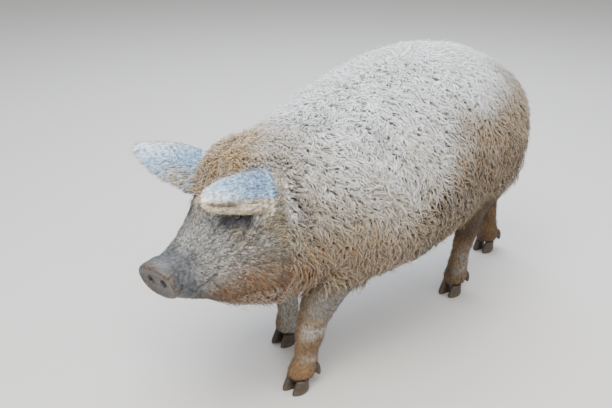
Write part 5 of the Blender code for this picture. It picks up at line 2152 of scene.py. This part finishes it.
    def build(self) -> None:
        """Grow every kind of hair as its own pieces."""
        wool = WoolFinish("curled_mangalica_wool", strand_mm=1.3, sheen=0.35, glow=0.6).material()
        bristle = WoolFinish("short_pig_bristle", strand_mm=1.6, sheen=0.15, roughness=0.7).material()
        self.under().pieces("under_wool", 4, 0.5, wool, Slot.FLEECE)
        self.locks().pieces("fleece_locks", 6, 0.6, wool, Slot.FLEECE)
        self.stray().pieces("stray_wool", 4, 1.0, wool, Slot.FLEECE)
        self.fuzz().pieces("face_fuzz", 3, 0.7, bristle, Slot.SHORT_COAT)
        self.short().pieces("short_tufts", 2, 0.45, bristle, Slot.SHORT_COAT)
        self.lashes().pieces("eyelashes", 4, 1.0, bristle, Slot.SHORT_COAT)


@dataclass
class Eyes:
    """Two eyeballs, each a ball with a cornea that bulges out of it."""

    rings: int = 64
    sunk: float = 0.001
    cornea_bulge: float = 0.0011

    def build(self) -> None:
        """Turn a profile round the way each eye looks.

        Its radius is the ball's own, and more by a bell curve of the angle from the pupil's middle.
        """
        tilt = np.linspace(0.004, math.pi - 0.004, self.rings)[:, None]
        radius = EYE_RADIUS - self.sunk + self.cornea_bulge * bell(tilt, 0.0, 0.55)
        place = radius[..., None] * globe(tilt, circle(self.rings))
        for side in Side:
            middle, turn = eye_frame(side)
            name = f"eye_{side.name.lower()}"
            ball = Shell.lofted(place @ turn.T + middle).piece(f"{name}_ball")
            ring = np.append(np.repeat(tilt[:, 0] / math.pi, self.rings), (0.0, 1.0))
            paint(ball.data, "from_pupil", ring)
            dress(ball, EyeFinish().material(), Slot.EYE, name)


@dataclass
class Claws:
    """The main claws and dewclaws of the four feet."""

    sides: int = 40
    levels: int = 26

    def main_claw(self, centre: Array, inner: float) -> Shell:
        """A main claw: ovals that narrow to the toe, lean forward, and round over at the sole's edge.

        Args:
            centre: the middle of its sole.
            inner: the sign of X towards its twin, on which side the wall is flatter.

        Returns:
            The closed claw.
        """
        table = np.array(CLAW_LEVELS)
        z = np.linspace(0, table[-1, 0], self.levels)
        rows = interpolated(tuple(map(tuple, table)), z)
        angle = circle(self.sides)[None, :]
        toe, out = np.cos(angle), np.sin(angle)
        worn = (1 - 0.1 * ease(z, 0.003, 0.0))[:, None]
        rib = (1 + 0.01 * np.sin(z / 0.0016) * ease(z, 0.002, 0.008))[:, None]
        flatter = 1 - 0.16 * np.clip(out * inner, 0, 1)
        x = centre[0] + rows[:, 2:3] * worn * rib * out * (1 - 0.3 * np.maximum(toe, 0) ** 2) * flatter
        y = centre[1] - rows[:, 3:4] - rows[:, 1:2] * worn * rib * toe
        return Shell.lofted(np.stack([x, y, np.repeat(z[:, None], self.sides, axis=1)], axis=-1))

    def dewclaw(self, root: Array) -> Shell:
        """A small claw behind the pastern: a tapering, slightly bent and flattened tube.

        Args:
            root: the middle of its upper end.

        Returns:
            The closed claw.
        """
        s = np.linspace(0, 1, self.levels)
        swell = np.interp(s, (0, 0.25, 0.5, 0.75, 1), (0.78, 1.0, 0.95, 0.76, 0.38))
        radius = DEWCLAW_RADIUS * swell[:, None]
        s, angle = s[:, None], circle(self.sides)
        x = root[0] + radius * np.sin(angle)
        y = root[1] - 0.006 + 0.014 * s + radius * 0.9 * np.cos(angle)
        z = root[2] + 0.008 - DEWCLAW_LENGTH * s + radius * 0.35 * np.cos(angle)
        return Shell.lofted(np.stack([x, y, z], axis=-1))

    def build(self) -> None:
        """Make sixteen claws, each in its node's place."""
        horn = HornFinish().material()
        for limb, side, table, _ in LIMBS:
            foot = table[-1]
            for position, sign in (("outer", 1), ("inner", -1)):
                x = side.value * (foot[1] + sign * CLAW_SPREAD)
                centre = np.array((x, foot[2] - CLAW_FORWARD, 0.0))
                x = side.value * (foot[1] + sign * DEWCLAW_SPREAD)
                root = np.array((x, table[-3][2] + DEWCLAW_BACK, DEWCLAW_Z))
                pair = (self.main_claw(centre, -side.value * sign), self.dewclaw(root))
                for kind, shell in zip(("claw", "dewclaw"), pair):
                    node = f"{kind}_{limb}_{position}"
                    dress(shell.piece(f"{node}_horn"), horn, Slot.CLAW_HORN, node)


@dataclass
class Studio:
    """The floor, the soft lights and the camera at the photograph's viewing angle."""

    camera_place: tuple = (1.6035, -1.833, 1.4)
    camera_tilt: float = math.radians(67.5)
    camera_turn: float = math.radians(45.0)
    lens_mm: float = 55.29
    floor_half: float = 9.0
    floor_tiles: int = 8
    air: str = "#F2F3F5"
    air_strength: float = 0.66
    # Name, place, side in metres, watts and colour of each light.
    lights: tuple = (
        ("key_light", (1.2, -1.6, 3.2), 2.8, 275.0, "#FFFBF7"),
        ("sky_light", (-1.4, 1.6, 3.4), 3.4, 236.0, "#E9F1FF"),
        ("fill_light", (2.8, 1.2, 1.6), 2.4, 28.0, "#FFFDF8"),
    )

    def floor(self) -> None:
        """Lay a flat floor."""
        row = self.floor_tiles + 1
        grid = np.linspace(-self.floor_half, self.floor_half, row)
        x, y = np.meshgrid(grid, grid, indexing="ij")
        points = np.stack([x.ravel(), y.ravel(), np.zeros(x.size)], axis=1)
        i, j = np.meshgrid(np.arange(row - 1), np.arange(row - 1), indexing="ij")
        first = (i * row + j).ravel()
        quads = np.column_stack([first, first + row, first + row + 1, first + 1])
        floor = Shell(points, quads, np.empty((0, 3), int)).piece("floor", outward=False)
        floor.data.materials.append(FloorFinish().material())

    def light(self, name: str, place: tuple, size: float, power: float, colour: str) -> None:
        """Hang a square soft light that faces the pig.

        Args:
            name: the light's name.
            place: where it hangs.
            size: its side in metres.
            power: watts.
            colour: sRGB hex.
        """
        data = bpy.data.lights.new(name, "AREA")
        data.size, data.energy, data.color = size, power, linear(colour)
        lamp = bpy.data.objects.new(name, data)
        lamp.location = place
        aim = Vector((0.0, 0.0, 0.45)) - Vector(place)
        lamp.rotation_euler = aim.to_track_quat("-Z", "Y").to_euler()
        bpy.context.scene.collection.objects.link(lamp)

    def build(self) -> None:
        """Set up the whole studio."""
        self.floor()
        for row in self.lights:
            self.light(*row)
        world = bpy.data.worlds.new("studio_air")
        world.use_nodes = True
        back = world.node_tree.nodes["Background"]
        back.inputs["Color"].default_value = (*linear(self.air), 1.0)
        back.inputs["Strength"].default_value = self.air_strength
        bpy.context.scene.world = world
        data = bpy.data.cameras.new("photo_camera")
        data.lens, data.sensor_width = self.lens_mm, 36.0
        data.clip_end = 60.0
        camera = bpy.data.objects.new("photo_camera", data)
        camera.location = self.camera_place
        camera.rotation_euler = (self.camera_tilt, 0.0, self.camera_turn)
        bpy.context.scene.collection.objects.link(camera)
        bpy.context.scene.camera = camera


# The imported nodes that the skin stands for.
FLESH = ("torso", "neck", "head", "snout", "tail", "ear_left", "ear_right",
         *(f"{name}_{part}" for name, *_ in LIMBS for part in ("upper", "lower")))


def main() -> None:
    """Build every piece in order and report it."""
    logging.basicConfig(level=logging.INFO, format="%(message)s")
    markings = Markings()
    skin = Skin().build()
    points = points_of(skin.data)
    paint(skin.data, "coat_colour", markings.colour(points))
    paint(skin.data, "bareness", markings.bareness(points))
    dress(skin, HideFinish().material(), Slot.SHORT_COAT, *FLESH)
    LOG.info("skin: %d triangles", sum(len(face.vertices) - 2 for face in skin.data.polygons))
    outline = Skin().outline()
    guide = BVHTree.FromObject(outline, bpy.context.evaluated_depsgraph_get())
    bpy.data.objects.remove(outline)
    Coat(Ground.of(skin), guide, markings).build()
    Eyes().build()
    Claws().build()
    Studio().build()


if __name__ == "__main__":
    main()
